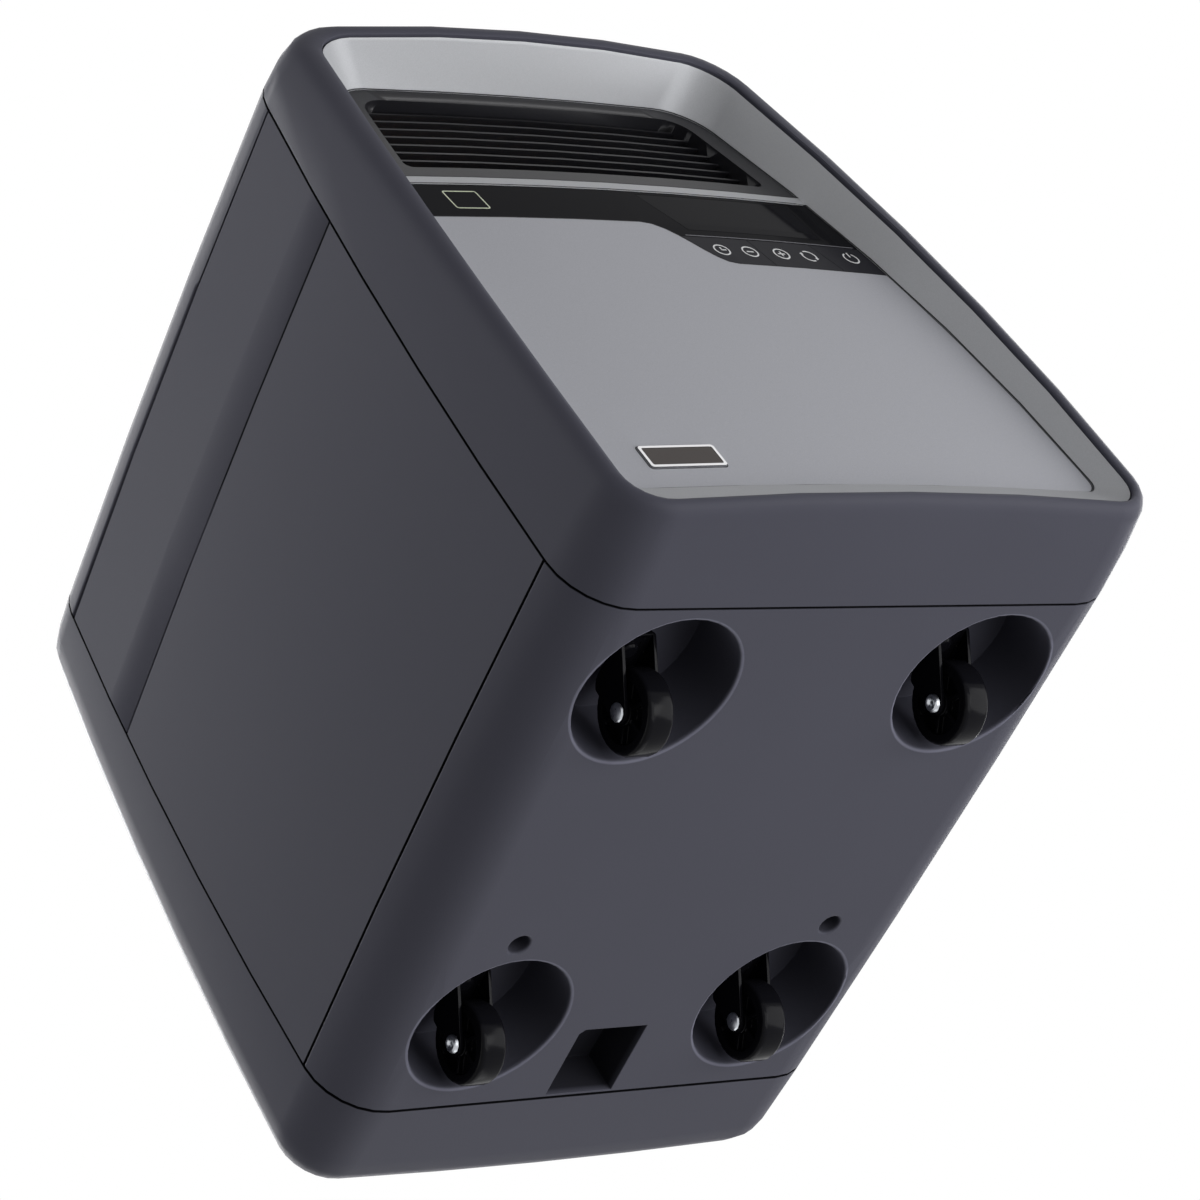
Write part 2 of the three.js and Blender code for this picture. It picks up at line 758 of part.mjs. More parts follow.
function badgeShape(inset) {
  const x = across(badgeCentreShares.x);
  const z = share(badgeCentreShares.z);
  const halfWidth = badge.width / 2 - inset;
  const halfHeight = badge.height / 2 - inset;
  const radius = badge.radius - inset / 2;
  return roundedRectangle(x - halfWidth, z - halfHeight, x + halfWidth, z + halfHeight, radius);
}

function frontPanel() {
  const seat = slab(-overrun, badge.recess).intersect(frontPrism(badgeShape(-clearance), steps.fine));
  return frontBlank(0, face.thickness).intersect(stepRegion(false)).subtract(seat);
}

function badgeFrame() {
  const back = badge.recess - clearance;
  const whole = frontPrism(badgeShape(0), steps.fine);
  const ring = whole.subtract(frontPrism(badgeShape(badge.frame), steps.fine));
  const plate = slab(back - clearance, back).intersect(whole);
  return slab(back - badge.depth, back).intersect(ring).add(plate);
}

function badgePlate() {
  const back = badge.recess - clearance * 3;
  const whole = frontPrism(badgeShape(badge.frame + clearance), steps.fine);
  return slab(back - badge.depth / 2, back).intersect(whole);
}

function windowShape(inset) {
  const low = share(frontShares.windowBottom) + inset;
  const high = share(frontShares.windowTop) - inset;
  return shapeFrom([
    [across(windowShares.leftBottom) + inset, low],
    [across(windowShares.rightBottom) - inset, low],
    [across(windowShares.rightTop) - inset, high],
    [across(windowShares.leftTop) + inset, high],
  ]);
}

const boardFront = faceY(0, keyTop) + board.setback;
const boardLow = share(frontShares.stepLow) + board.part;
const boardHigh = stripLow - board.topMargin;
const boardLeft = across(windowShares.leftTop) - board.sideMargin - board.margin;
const boardRight = across(windowShares.rightBottom) + board.sideMargin;
const windowStep = face.thickness / 2 + face.seam / 3;

function controlFascia() {
  const blank = frontBlank(0, face.thickness).intersect(stepRegion(true))
    .intersect(level(keyTop + face.seam / 2, stripLow));
  const ledge = slab(-overrun, windowStep).intersect(frontPrism(windowShape(0)));
  const through = frontPrism(windowShape(post.radius / 2));
  const plate = blank.subtract(ledge).subtract(through);
  const postHeight = boardHigh - board.margin;
  const postPlaces = [boardLeft + board.margin, boardRight - board.margin];
  const posts = postPlaces.map((x) => slab(face.thickness / 2, cabinet.depth / 4)
    .intersect(prism(circleShape(x, postHeight, post.radius), deepest, boardFront - clearance)));
  return union(plate, ...posts);
}

function displayWindow() {
  return slab(0, windowStep - clearance).intersect(frontPrism(windowShape(clearance)));
}

// One of the three key caps, with the plunger that works its switch
function keyCap(i) {
  const left = keyEdgeShares[i];
  const right = keyEdgeShares[i + 1];
  const low = share(frontShares.stepLow) - overrun;
  const high = keyTop - face.seam / 2;
  const gap = face.seam / 2;
  const sides = shapeFrom([
    [across(left.lowShare) + gap, low],
    [across(right.lowShare) - gap, low],
    [across(right.highShare) - gap, high],
    [across(left.highShare) + gap, high],
  ]);
  const cap = frontBlank(0, key.thickness).intersect(stepRegion(true)).intersect(frontPrism(sides));
  const plungerEnd = boardFront - board.part - clearance - key.travel;
  const place = circleShape(across(keyCentreShares[i]), plungerHeight, key.plunger / 2);
  const plunger = slab(key.thickness / 2, cabinet.depth / 4).intersect(prism(place, deepest, plungerEnd));
  return cap.add(plunger);
}

function controlBoard() {
  const sheet = block(
    [boardLeft, boardFront, boardLow],
    [boardRight, boardFront + board.thickness, boardHigh],
  );
  const switches = keyCentreShares.map((value) => block(
    [across(value) - board.part, boardFront - board.part, plungerHeight - board.part],
    [across(value) + board.part, boardFront + board.thickness / 2, plungerHeight + board.part],
  ));
  return union(sheet, ...switches);
}

function ledDisplay() {
  const low = share(frontShares.windowBottom) + post.radius;
  const high = share(frontShares.windowTop) - post.radius;
  const left = across(windowShares.leftBottom) + post.seat;
  const right = across(windowShares.rightTop) - post.seat * 2;
  const body = block([left, deepest, low], [right, boardFront - clearance, high]);
  return body.intersect(slab(windowStep + clearance, cabinet.depth / 4))
    .intersect(level(low, boardHigh));
}

// One slat across the outlet, thin and sloping, that follows the bow of the face
function slat(z, reach) {
  const rings = [];
  for (let j = 0; j <= steps.face / 2; j += 1) {
    const x = THREE.MathUtils.lerp(-reach, reach, j / (steps.face / 2));
    const y = faceY(x, z) + louvre.setback;
    rings.push([
      [x, y, z - louvre.thickness],
      [x, y + louvre.depth, z + louvre.rise - louvre.thickness],
      [x, y + louvre.depth, z + louvre.rise],
      [x, y, z],
    ]);
  }
  return skin(rings, { along: 0 });
}

function outletGrille() {
  const hole = shapeFrom(outline(ventForm));
  const blank = frontBlank(0, vent.depth).intersect(level(share(frontShares.stripTop) + face.seam, above));
  const flangeRoom = slab(face.thickness, vent.depth + overrun)
    .subtract(frontPrism(shapeFrom(outline(innerForm, frame.flange + clearance))));
  const border = blank.subtract(frontPrism(hole)).subtract(flangeRoom);
  const slats = [];
  for (let z = ventForm.top - louvre.topMargin; z > ventForm.bottom + louvre.thickness; z -= louvre.pitch) {
    slats.push(slat(z, halfAt(ventForm, z) + vent.border / 4));
  }
  const room = frontPrism(shapeFrom(outline(ventForm, -vent.border / 4)));
  return union(border, union(...slats).intersect(room));
}

const backFaceY = (x, z) => cabinet.depth + standAt(rear, x, z);
const glandX = cabinet.halfWidth * glandShares.xShare;
const glandZ = share(glandShares.heightShare);
const rearScrewZ = share(rearScrewShares.heightShare);
const rearScrewX = [-1, 1].map((side) => side * cabinet.halfWidth * rearScrewShares.xShare);
const intakeHalfWidth = cabinet.halfWidth - intake.sideMargin;

// Rear shell: a cup with a rounded edge whose back bulges and leans like the front
function rearShell() {
  const seam = cabinet.depth + groove / 2;
  const form = cabinetForm(cabinet.depth);
  const ringAt = (inset, place) => {
    const edge = outline(form, rear.edge);
    return outline(form, inset).map(([x, z], i) => [x, place(backFaceY(...edge[i])), z]);
  };
  const middle = (form.bottom + form.top) / 2;
  const shrunk = (part, drop) => outline(form, rear.edge + drop).map(([x, z]) => {
    const px = x * part;
    const pz = middle + (z - middle) * part;
    return [px, backFaceY(px, pz) - drop, pz];
  });
  const half = (drop, count) => {
    const rings = [[[0, backFaceY(0, middle) - drop, middle]]];
    rings.push(shrunk(backMiddleShare, drop));
    for (let i = count; i >= 0; i -= 1) {
      const angle = Math.PI / 2 * i / count;
      const inset = rear.taper + (rear.edge - rear.taper) * (1 - Math.cos(angle)) + drop;
      rings.push(ringAt(inset, (y) => y - rear.edge * (1 - Math.sin(angle)) - drop));
    }
    return rings;
  };
  const flat = (inset, y) => outline(form, inset).map(([x, z]) => [x, y, z]);
  const rings = [
    ...half(0, steps.edge),
    flat(0, seam),
    flat(seamTongueOuter, seam),
    flat(seamTongueOuter, cabinet.depth - tongue.seamReach),
    flat(seamTongueInner, cabinet.depth - tongue.seamReach),
    flat(seamTongueInner, seam + tongue.seamRoot / 2),
    flat(cabinet.wall, seam + tongue.seamRoot / 2),
    ...half(cabinet.wall, steps.edge / 2).reverse(),
  ];
  const pocketRoom = block(
    [-pocket.left - pocket.wall - clearance, 0, -overrun],
    [pocket.right + pocket.wall + clearance, seam - clearance, pocket.depth + pocket.wall + clearance],
  );
  const cordHole = prism(circleShape(glandX, glandZ, gland.radius + clearance), 0, cabinet.depth * 2);
  const window = prism(intakeShape(0), 0, cabinet.depth * 2);
  let shell = skin(rings).subtract(pocketRoom).subtract(cordHole).subtract(window);
  for (const x of rearScrewX) {
    const hole = circleShape(x, rearScrewZ, screw.shank + clearance);
    shell = shell.subtract(prism(hole, 0, cabinet.depth * 2));
  }
  return shell;
}

function intakeShape(inset) {
  const low = share(intake.bottomShare) + inset;
  const high = share(intake.topShare) - inset;
  const reach = intakeHalfWidth - inset;
  return roundedRectangle(-reach, low, reach, high, intake.radius - inset);
}

// Slab that follows the back, between two depths under its surface
function backSlab(outer, innerDepth) {
  const rings = [];
  for (let i = 0; i <= steps.back; i += 1) {
    const z = THREE.MathUtils.lerp(0, cabinet.height, i / steps.back);
    const row = [];
    for (let j = 0; j <= steps.back; j += 1) {
      row.push(THREE.MathUtils.lerp(-cabinet.halfWidth, cabinet.halfWidth, j / steps.back));
    }
    const outerRow = row.map((x) => [x, backFaceY(x, z) - outer, z]);
    const innerRow = row.slice().reverse().map((x) => [x, backFaceY(x, z) - innerDepth, z]);
    rings.push([...outerRow, ...innerRow]);
  }
  return skin(rings, { along: 2 });
}

function intakeGrille() {
  const plate = backSlab(0, intake.depth).intersect(prism(intakeShape(clearance), 0, cabinet.depth * 2));
  const margin = intake.radius;
  const low = share(intake.bottomShare) + margin;
  const high = share(intake.topShare) - margin;
  const reach = intakeHalfWidth - margin;
  let grille = plate;
  for (let z = low; z + intake.pitch - intake.slat <= high; z += intake.pitch) {
    const slot = block([-reach, 0, z], [reach, cabinet.depth * 2, z + intake.pitch - intake.slat]);
    grille = grille.subtract(slot);
  }
  const ribRoom = block(
    [-intake.slat / 2, 0, low - overrun],
    [intake.slat / 2, cabinet.depth * 2, high + overrun],
  );
  return grille.add(backSlab(intake.depth / 2, intake.depth).intersect(ribRoom));
}

function airFilter() {
  const start = intake.depth + clearance;
  return backSlab(start, start + filter.thickness)
    .intersect(prism(intakeShape(filter.margin), 0, cabinet.depth * 2));
}

// Casters

// Wheel about the X axis, with a spoked recess on both sides
function casterWheel() {
  const half = wheel.width / 2;
  const bore = axle.radius + clearance;
  const sideProfile = [
    [bore, half],
    [wheel.hub, half],
    [wheel.hub, wheel.web],
    [wheel.rimInner, wheel.web],
    [wheel.rimInner, half],
  ];
  for (let i = 0; i <= steps.fine; i += 1) {
    const angle = Math.PI / 2 * i / steps.fine;
    const corner = wheel.radius - wheel.edge;
    sideProfile.push([corner + wheel.edge * Math.sin(angle), half - wheel.edge * (1 - Math.cos(angle))]);
  }
  const profile = [...sideProfile, ...sideProfile.slice().reverse().map(([r, h]) => [r, -h])];
  let solid = solidOf(turned(closed(profile), steps.wheel).rotateY(Math.PI / 2));
  const spokeLength = wheel.rimInner - wheel.hub;
  const spoke = new THREE.BoxGeometry(wheel.width - wheel.edge, wheel.spoke, spokeLength + wheel.spoke / 2);
  spoke.translate(0, 0, wheel.hub + spokeLength / 2);
  for (let i = 0; i < wheel.spokes; i += 1) {
    solid = solid.add(solidOf(spoke.clone().rotateX(Math.PI * 2 * i / wheel.spokes)));
  }
  return solid;
}

const forkInner = wheel.width / 2 + caster.bearingGap;
const forkOuter = forkInner + fork.plate;
const bridgeLow = caster.axleHeight + wheel.radius + fork.bridgeGap;
const bridgeHigh = bridgeLow + fork.top;
const cheekTurn = { start: Math.PI * 1.22, end: Math.PI * 2.05 };

// Upside-down U seen from the front, closed below, with round shoulders
function hoodShape(halfWidth, high, radius) {
  const low = caster.axleHeight - fork.boss * 2;
  const shape = new THREE.Shape();
  shape.moveTo(-halfWidth, low);
  shape.lineTo(halfWidth, low);
  shape.lineTo(halfWidth, high - radius);
  shape.absarc(halfWidth - radius, high - radius, radius, 0, Math.PI / 2);
  shape.lineTo(-halfWidth + radius, high);
  shape.absarc(-halfWidth + radius, high - radius, radius, Math.PI / 2, Math.PI);
  return shape;
}

// Fork: a hood over the wheel whose two cheeks reach down to the axle, and the swivel pin
function casterFork() {
  const cheek = new THREE.Shape();
  cheek.moveTo(-fork.frontReach, bridgeHigh);
  cheek.lineTo(-fork.frontReach, bridgeHigh - fork.skirt);
  cheek.lineTo(
    caster.trail + fork.boss * Math.cos(cheekTurn.start),
    caster.axleHeight + fork.boss * Math.sin(cheekTurn.start),
  );
  cheek.absarc(caster.trail, caster.axleHeight, fork.boss, cheekTurn.start, cheekTurn.end);
  cheek.lineTo(fork.cheekReach, bridgeLow - fork.top);
  cheek.lineTo(fork.rearReach, bridgeHigh);
  const reach = caster.trail + wheel.radius;
  const hoodOutline = hoodShape(forkOuter, bridgeHigh, fork.roundRadius);
  const hood = prism(hoodOutline, -fork.frontReach, reach, steps.fine);
  const room = prism(
    hoodShape(forkInner, bridgeLow, fork.roundRadius - fork.plate),
    -fork.frontReach + fork.plate, reach + overrun, steps.fine,
  );
  const mouth = block(
    [-forkInner, -fork.frontReach - overrun, -wheel.radius],
    [forkInner, 0, bridgeHigh - fork.skirt],
  );
  const shell = hood.subtract(room).subtract(mouth).intersect(sidePrism(cheek, -forkOuter, forkOuter));
  const pinTop = well.depth + well.wall + kingpin.flangeHeight;
  const pin = solidOf(disc(kingpin.radius, bridgeLow - kingpin.headHeight / 2, pinTop, steps.small));
  const head = solidOf(turned([
    [0, bridgeLow - kingpin.headHeight],
    [kingpin.head * kingpin.faceShare, bridgeLow - kingpin.headHeight],
    [kingpin.head, bridgeLow - kingpin.headHeight / 2],
    [kingpin.head, bridgeLow + fork.top / 2],
    [0, bridgeLow + fork.top / 2],
  ], steps.pin));
  const bore = solidOf(disc(axle.radius + clearance, -forkOuter * 2, forkOuter * 2, steps.small)
    .rotateY(Math.PI / 2)).translate([0, caster.trail, caster.axleHeight]);
  return union(shell, pin, head).subtract(bore);
}

// Axle about the X axis: a domed head at one end and a rolled hollow end at the other
function casterAxle() {
  const seat = forkOuter + clearance;
  return solidOf(turned([
    [0, -seat - axle.headHeight],
    [axle.head * axleShares.domeShare, -seat - axle.headHeight * axleShares.highShare],
    [axle.head * axleShares.shoulderShare, -seat - axle.headHeight * axleShares.lowShare],
    [axle.head, -seat],
    [axle.radius, -seat],
    [axle.radius, seat],
    [axle.head, seat],
    [axle.head * axleShares.shoulderShare, seat + axle.headHeight * axleShares.rollShare],
    [axle.head * axleShares.rollShare, seat + axle.headHeight],
    [axle.bore, seat + axle.headHeight * axleShares.rollShare],
    [axle.bore, seat - axle.headHeight],
    [0, seat - axle.headHeight],
  ], steps.pin).rotateY(Math.PI / 2));
}

// Socket in the roof of the well that the swivel pin turns in
function casterSocket() {
  const low = bridgeHigh + clearance;
  const bore = kingpin.radius + clearance;
  return solidOf(turned(closed([
    [bore, low],
    [kingpin.collar, low],
    [kingpin.flange, well.depth - clearance - kingpin.flangeHeight],
    [kingpin.flange, well.depth - clearance],
    [socketRadius, well.depth - clearance],
    [socketRadius, well.depth + well.wall + kingpin.flangeHeight * 2],
    [bore, well.depth + well.wall + kingpin.flangeHeight * 2],
  ]), steps.small));
}

// Inside

function supplyCorners() {
  const x = supply.width / 2 - post.radius;
  const y0 = cabinet.depth / 2 - supply.length / 2 + post.radius;
  const y1 = cabinet.depth / 2 + supply.length / 2 - post.radius;
  return [[-x, y0], [x, y0], [-x, y1], [x, y1]];
}

const deckTop = share(deck.heightShare);

// Steel deck that carries the hot parts, with side flanges along the panels' tongues
function innerDeck() {
  const rings = [];
  const inset = tongueInner + deck.sideGap;
  for (let i = 0; i <= steps.station; i += 1) {
    const y = THREE.MathUtils.lerp(deck.frontMargin, cabinet.depth - deck.rearMargin, i / steps.station);
    const form = cabinetForm(y);
    const x = (extra, z) => halfAt(form, z) - inset - extra;
    const low = deckTop - deck.flange;
    const right = [
      [x(0, low), low],
      [x(0, deckTop), deckTop],
    ];
    const left = right.map(([a, b]) => [-a, b]).reverse();
    const innerLeft = [
      [-x(deck.thickness, low), low],
      [-x(deck.thickness, deckTop), deckTop - deck.thickness],
    ];
    const innerRight = innerLeft.map(([a, b]) => [-a, b]).reverse();
    rings.push([...right, ...left, ...innerLeft, ...innerRight].map(([a, b]) => [a, y, b]));
  }
  return skin(rings);
}

const ductHalfWidth = cabinet.halfWidth - duct.sideMargin;
const ductLow = deckTop + clearance;
const ductHigh = ductLow + duct.height;
const ductFront = vent.depth + clearance;

function heaterBox() {
  const outer = block([-ductHalfWidth, deepest, ductLow], [ductHalfWidth, farBack, ductHigh]);
  const hole = block(
    [-ductHalfWidth + duct.wall, deepest, ductLow + duct.wall],
    [ductHalfWidth - duct.wall, farBack, ductHigh - duct.wall],
  );
  const ends = slab(ductFront, cabinet.depth * 2)
    .intersect(block([-cabinet.halfWidth, deepest, 0], [cabinet.halfWidth, duct.length, above]));
  return outer.subtract(hole).intersect(ends);
}

const tubeHeights = Array.from({ length: tube.count }, (_, i) => {
  const middle = (ductLow + ductHigh) / 2;
  return middle + (i - (tube.count - 1) / 2) * tube.pitch;
});

function quartzTube() {
  const end = ductHalfWidth - duct.wall - clearance * 2;
  const cap = end - tube.capLength;
  const profile = [
    [0, -end], [tube.cap, -end], [tube.cap, -cap], [tube.radius, -cap],
    [tube.radius, cap], [tube.cap, cap], [tube.cap, end], [0, end],
  ];
  return solidOf(turned(profile, steps.small).rotateY(Math.PI / 2));
}

function tubeHolder(side) {
  const wallX = ductHalfWidth - duct.wall - clearance;
  const ends = [side * (wallX - holder.thickness), side * wallX];
  const reach = duct.wall + clearance;
  let plate = block(
    [Math.min(...ends), tube.place - holder.width / 2, ductLow + reach],
    [Math.max(...ends), tube.place + holder.width / 2, ductHigh - reach],
  );
  for (const z of tubeHeights) {
    const hole = solidOf(disc(tube.cap + clearance, -cabinet.halfWidth, cabinet.halfWidth, steps.small)
      .rotateY(Math.PI / 2));
    plate = plate.subtract(hole.translate([0, tube.place, z]));
  }
  return plate;
}

function heatReflector() {
  const reach = duct.wall + clearance;
  const y = tube.place + reflector.setback;
  const low = ductLow + reach;
  const high = ductHigh - reach;
  const halfWidth = ductHalfWidth - reach;
  let sheet = block([-halfWidth, y, low], [halfWidth, y + reflector.thickness, high]);
  const pitch = (high - low) / reflector.slots;
  for (let i = 0; i < reflector.slots; i += 1) {
    const z = low + pitch * i + pitch / 2;
    const slotHalf = halfWidth - reflector.slot * 2;
    sheet = sheet.subtract(block(
      [-slotHalf, y - overrun, z - reflector.slot / 2],
      [slotHalf, y + overrun, z + reflector.slot / 2],
    ));
  }
  return sheet;
}

const blowerLength = (cabinet.halfWidth - blower.sideMargin) * 2;
const housingRadius = blower.radius + housing.gap;
const blowerY = duct.length + clearance + housingRadius + blower.wall;
const blowerZ = deckTop + clearance + housingRadius + blower.wall;
const housingHalf = blowerLength / 2 + housing.gap;
const bladeTurn = Math.PI / 6;

// Blower housing: a wall round the wheel that is open to the duct in front and to the intake behind
function blowerHousing() {
  const radius = housingRadius + blower.wall;
  const ring = new THREE.Shape();
  ring.absarc(0, 0, radius, 0, Math.PI * 2);
  const hole = new THREE.Path();
  hole.absarc(0, 0, housingRadius, 0, Math.PI * 2);
  const scroll = ring.clone();
  scroll.holes.push(hole);
  const wallPart = sidePrism(scroll, -housingHalf, housingHalf, steps.round);
  const ends = [-1, 1].map((side) => {
    const faces = [side * housingHalf, side * (housingHalf + blower.wall)];
    return sidePrism(ring, Math.min(...faces), Math.max(...faces), steps.round);
  });
  const mouth = block(
    [-housingHalf, -radius - overrun, -housing.mouth / 2],
    [housingHalf, 0, housing.mouth / 2],
  );
  const inlet = block(
    [-housingHalf, 0, -housing.mouth / 2],
    [housingHalf, radius + overrun, housing.mouth / 2],
  );
  const shaftHole = solidOf(disc(motor.shaft + clearance, -housingHalf * 2, housingHalf * 2, steps.small)
    .rotateY(Math.PI / 2));
  const trunk = wallPart.subtract(mouth).subtract(inlet);
  return union(trunk, ...ends).subtract(shaftHole);
}

// Blower wheel: rings of thin blades between three discs, on its own hub
function blowerWheel() {
  const half = blowerLength / 2;
  const discs = [-half, -blower.disc / 2, half - blower.disc]
    .map((x) => solidOf(disc(blower.radius, x, x + blower.disc).rotateY(Math.PI / 2)));
  const hub = solidOf(disc(blower.hub, -half, half, steps.small).rotateY(Math.PI / 2));
  const blade = new THREE.BoxGeometry(blowerLength, blower.blade, blower.bladeDepth);
  blade.rotateX(bladeTurn);
  blade.translate(0, 0, blower.radius - blower.bladeDepth / 2 - blower.blade);
  let solid = union(...discs, hub);
  for (let i = 0; i < blower.blades; i += 1) {
    solid = solid.add(solidOf(blade.clone().rotateX(Math.PI * 2 * i / blower.blades)));
  }
  const bore = solidOf(disc(motor.shaft + clearance, 0, half + overrun, steps.small).rotateY(Math.PI / 2));
  const pin = solidOf(disc(motor.shaft, -housingHalf - blower.wall, -half + overrun, steps.small)
    .rotateY(Math.PI / 2));
  return solid.subtract(bore).add(pin);
}

function blowerMotor() {
  const start = housingHalf + blower.wall + clearance;
  const body = solidOf(disc(motor.radius, start, start + motor.length).rotateY(Math.PI / 2));
  const shaft = solidOf(disc(motor.shaft, blower.hub, start + overrun, steps.small).rotateY(Math.PI / 2));
  return body.add(shaft);
}

function motorBracket() {
  const start = housingHalf + blower.wall + clearance;
  const low = deckTop + clearance - blowerZ;
  const half = bracket.width / 2;
  const end = start + motor.length;
  const foot = block([start, -half, low], [end, half, low + bracket.thickness]);
  const cradle = block([start + overrun, -half, low], [end - overrun, half, -motor.radius / 2]);
  const room = solidOf(disc(motor.radius + clearance, 0, cabinet.halfWidth).rotateY(Math.PI / 2));
  return foot.add(cradle).subtract(room);
}

function powerBoard() {
  const low = cabinet.wall + supply.height + clearance;
  const y = cabinet.depth / 2;
  const sheet = block(
    [-supply.width / 2, y - supply.length / 2, low],
    [supply.width / 2, y + supply.length / 2, low + board.thickness],
  );
  const parts = [-1, 0, 1].map((place) => {
    const x = place * supply.width / 3;
    const half = supply.part / 2;
    return block([x - half, y - half, low], [x + half, y + half, low + supply.partHeight]);
  });
  return union(sheet, ...parts);
}

function thermalCutout() {
  const low = ductHigh + clearance;
  const tab = block(
    [-cutout.tab / 2, tube.place - cutout.radius, low],
    [cutout.tab / 2, tube.place + cutout.radius, low + duct.wall],
  );
  return tab.add(solidOf(disc(cutout.radius, low, low + cutout.height)).translate([0, tube.place, 0]));
}

function tipSwitchBody() {
  const low = cabinet.wall + clearance;
  const y = cabinet.depth / 2 + supply.length / 2 + tipSwitch.gap;
  const foot = block(
    [-tipSwitch.width, y, low],
    [tipSwitch.width, y + tipSwitch.length, low + tipSwitch.foot],
  );
  const body = block(
    [-tipSwitch.width / 2, y, low],
    [tipSwitch.width / 2, y + tipSwitch.length, low + tipSwitch.height],
  );
  return foot.add(body);
}

// Round gland about the Y axis, in the low corner of the back, where the lead would come out
function cordGland() {
  const outer = backFaceY(glandX, glandZ);
  const profile = closed([
    [gland.bore, -gland.length],
    [gland.radius, -gland.length],
    [gland.radius, clearance * 2],
    [gland.flange, clearance * 2],
    [gland.flange * glandShares.edgeShare, gland.flangeHeight],
    [gland.bore, gland.flangeHeight],
  ]);
  return solidOf(turned(profile).rotateX(-Math.PI / 2)).translate([glandX, outer, glandZ]);
}

// Screw about the Z axis with a rounded head below, a cross recess in it and a plain shank above
function screwSolid(length) {
  const head = solidOf(turned([
    [0, 0],
    [screw.head * screwShares.faceShare, 0],
    [screw.head, screw.headHeight * screwShares.shoulderShare],
    [screw.head, screw.headHeight],
    [screw.shank, screw.headHeight],
    [screw.shank, length],
    [0, length],
  ], steps.pin));
  const arm = screw.head * screwShares.armShare;
  const thin = screw.head * screwShares.slotShare;
  const deep = screw.headHeight * screwShares.slotDepthShare;
  return head
    .subtract(block([-arm, -thin, -overrun], [arm, thin, deep]))
    .subtract(block([-thin, -arm, -overrun], [thin, arm, deep]));
}

// Finishes

const finish = (color, roughness, metalness) => ({ color, roughness, metalness });
const darkShell = finish(0x4a4b54, 0.5, 0);
const silver = finish(0x9a9da2, 0.38, 0.6);
const greyPanel = finish(0x94969b, 0.5, 0.1);
const glossBlack = finish(0x1c1b21, 0.12, 0);
const satinBlack = finish(0x18181c, 0.45, 0);
const steel = finish(0xa8abb0, 0.35, 1);
const zinc = finish(0xc9ccd0, 0.3, 1);
const ceramic = finish(0xe4ded2, 0.7, 0);
const quartz = finish(0xe0d8d0, 0.2, 0);
const circuit = finish(0x2c5a3c, 0.5, 0);
const foam = finish(0x2a2b2e, 0.95, 0);

const heater = new THREE.Group();

function place(name, solid, look, position = [0, 0, 0], turn = 0) {
  const mesh = new THREE.Mesh(geometryOf(solid), new THREE.MeshStandardMaterial(look));
  mesh.name = name;
  mesh.position.set(...position);
  mesh.rotation.z = turn;
  heater.add(mesh);
}

place('front_bezel', frontBezel(), darkShell);
place('front_frame', frontFrame(), silver);
place('outlet_grille', outletGrille(), satinBlack);
place('front_panel', frontPanel(), greyPanel);
place('badge_frame', badgeFrame(), zinc);
place('badge_plate', badgePlate(), satinBlack);
place('control_fascia', controlFascia(), glossBlack);
place('display_window', displayWindow(), glossBlack);
['timer_minus_key', 'plus_mode_key', 'power_key'].forEach((name, i) => place(name, keyCap(i), satinBlack));
place('control_board', controlBoard(), circuit);
place('led_display', ledDisplay(), satinBlack);
place('top_cover', topCover(), darkShell);
place('base_cover', baseCover(), darkShell);
for (const [name, side] of [['left', -1], ['right', 1]]) {
  place(`side_panel_upper_${name}`, upperPanel(side), darkShell);
  place(`side_panel_lower_${name}`, lowerPanel(side), darkShell);
}
place('rear_shell', rearShell(), darkShell);
place('intake_grille', intakeGrille(), satinBlack);
place('air_filter', airFilter(), foam);
place('cord_gland', cordGland(), satinBlack);
place('inner_deck', innerDeck(), steel);
place('heater_box', heaterBox(), steel);
place('heat_reflector', heatReflector(), zinc);
tubeHeights.forEach((z, i) => place(`quartz_tube_${i + 1}`, quartzTube(), quartz, [0, tube.place, z]));
place('tube_holder_left', tubeHolder(-1), ceramic);
place('tube_holder_right', tubeHolder(1), ceramic);
const blowerPlace = [0, blowerY, blowerZ];
place('blower_housing', blowerHousing(), steel, blowerPlace);
place('blower_wheel', blowerWheel(), satinBlack, blowerPlace);
place('blower_motor', blowerMotor(), steel, blowerPlace);
place('motor_bracket', motorBracket(), steel, blowerPlace);
place('power_board', powerBoard(), circuit);
place('thermal_cutout', thermalCutout(), ceramic);
place('tip_switch', tipSwitchBody(), satinBlack);
for (const { name, x, y } of screwPlaces) {
  const low = screw.seat - clearance - screw.headHeight;
  place(`base_screw_${name}`, screwSolid(screw.length), zinc, [x, y, low]);
}
rearScrewX.forEach((x, i) => {
  const out = backFaceY(x, rearScrewZ) + clearance * 2 + screw.headHeight;
  const solid = screwSolid(screw.length).rotate([90, 0, 0]);
  place(`rear_screw_${['left', 'right'][i]}`, solid, zinc, [x, out, rearScrewZ]);
});
for (const { name, x, y, side } of wellPlaces) {
  const axlePlace = [x, y + caster.trail, caster.axleHeight];
  place(`caster_socket_${name}`, casterSocket(), steel, [x, y, 0]);
  place(`caster_fork_${name}`, casterFork(), glossBlack, [x, y, 0]);
  place(`caster_axle_${name}`, casterAxle(), steel, axlePlace, side < 0 ? 0 : Math.PI);
  place(`caster_wheel_${name}`, casterWheel(), glossBlack, axlePlace);
}

// The origin goes to the floor under the middle of the whole
const bounds = new THREE.Box3().setFromObject(heater);
const middle = bounds.getCenter(new THREE.Vector3());
heater.children.forEach((mesh) => mesh.position.sub(new THREE.Vector3(middle.x, middle.y, bounds.min.z)));

export default heater;
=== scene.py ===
"""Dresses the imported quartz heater: its finishes, printed symbols, plated trim, lamps and camera."""

import json
import math

import bpy
from mathutils import Matrix, Vector

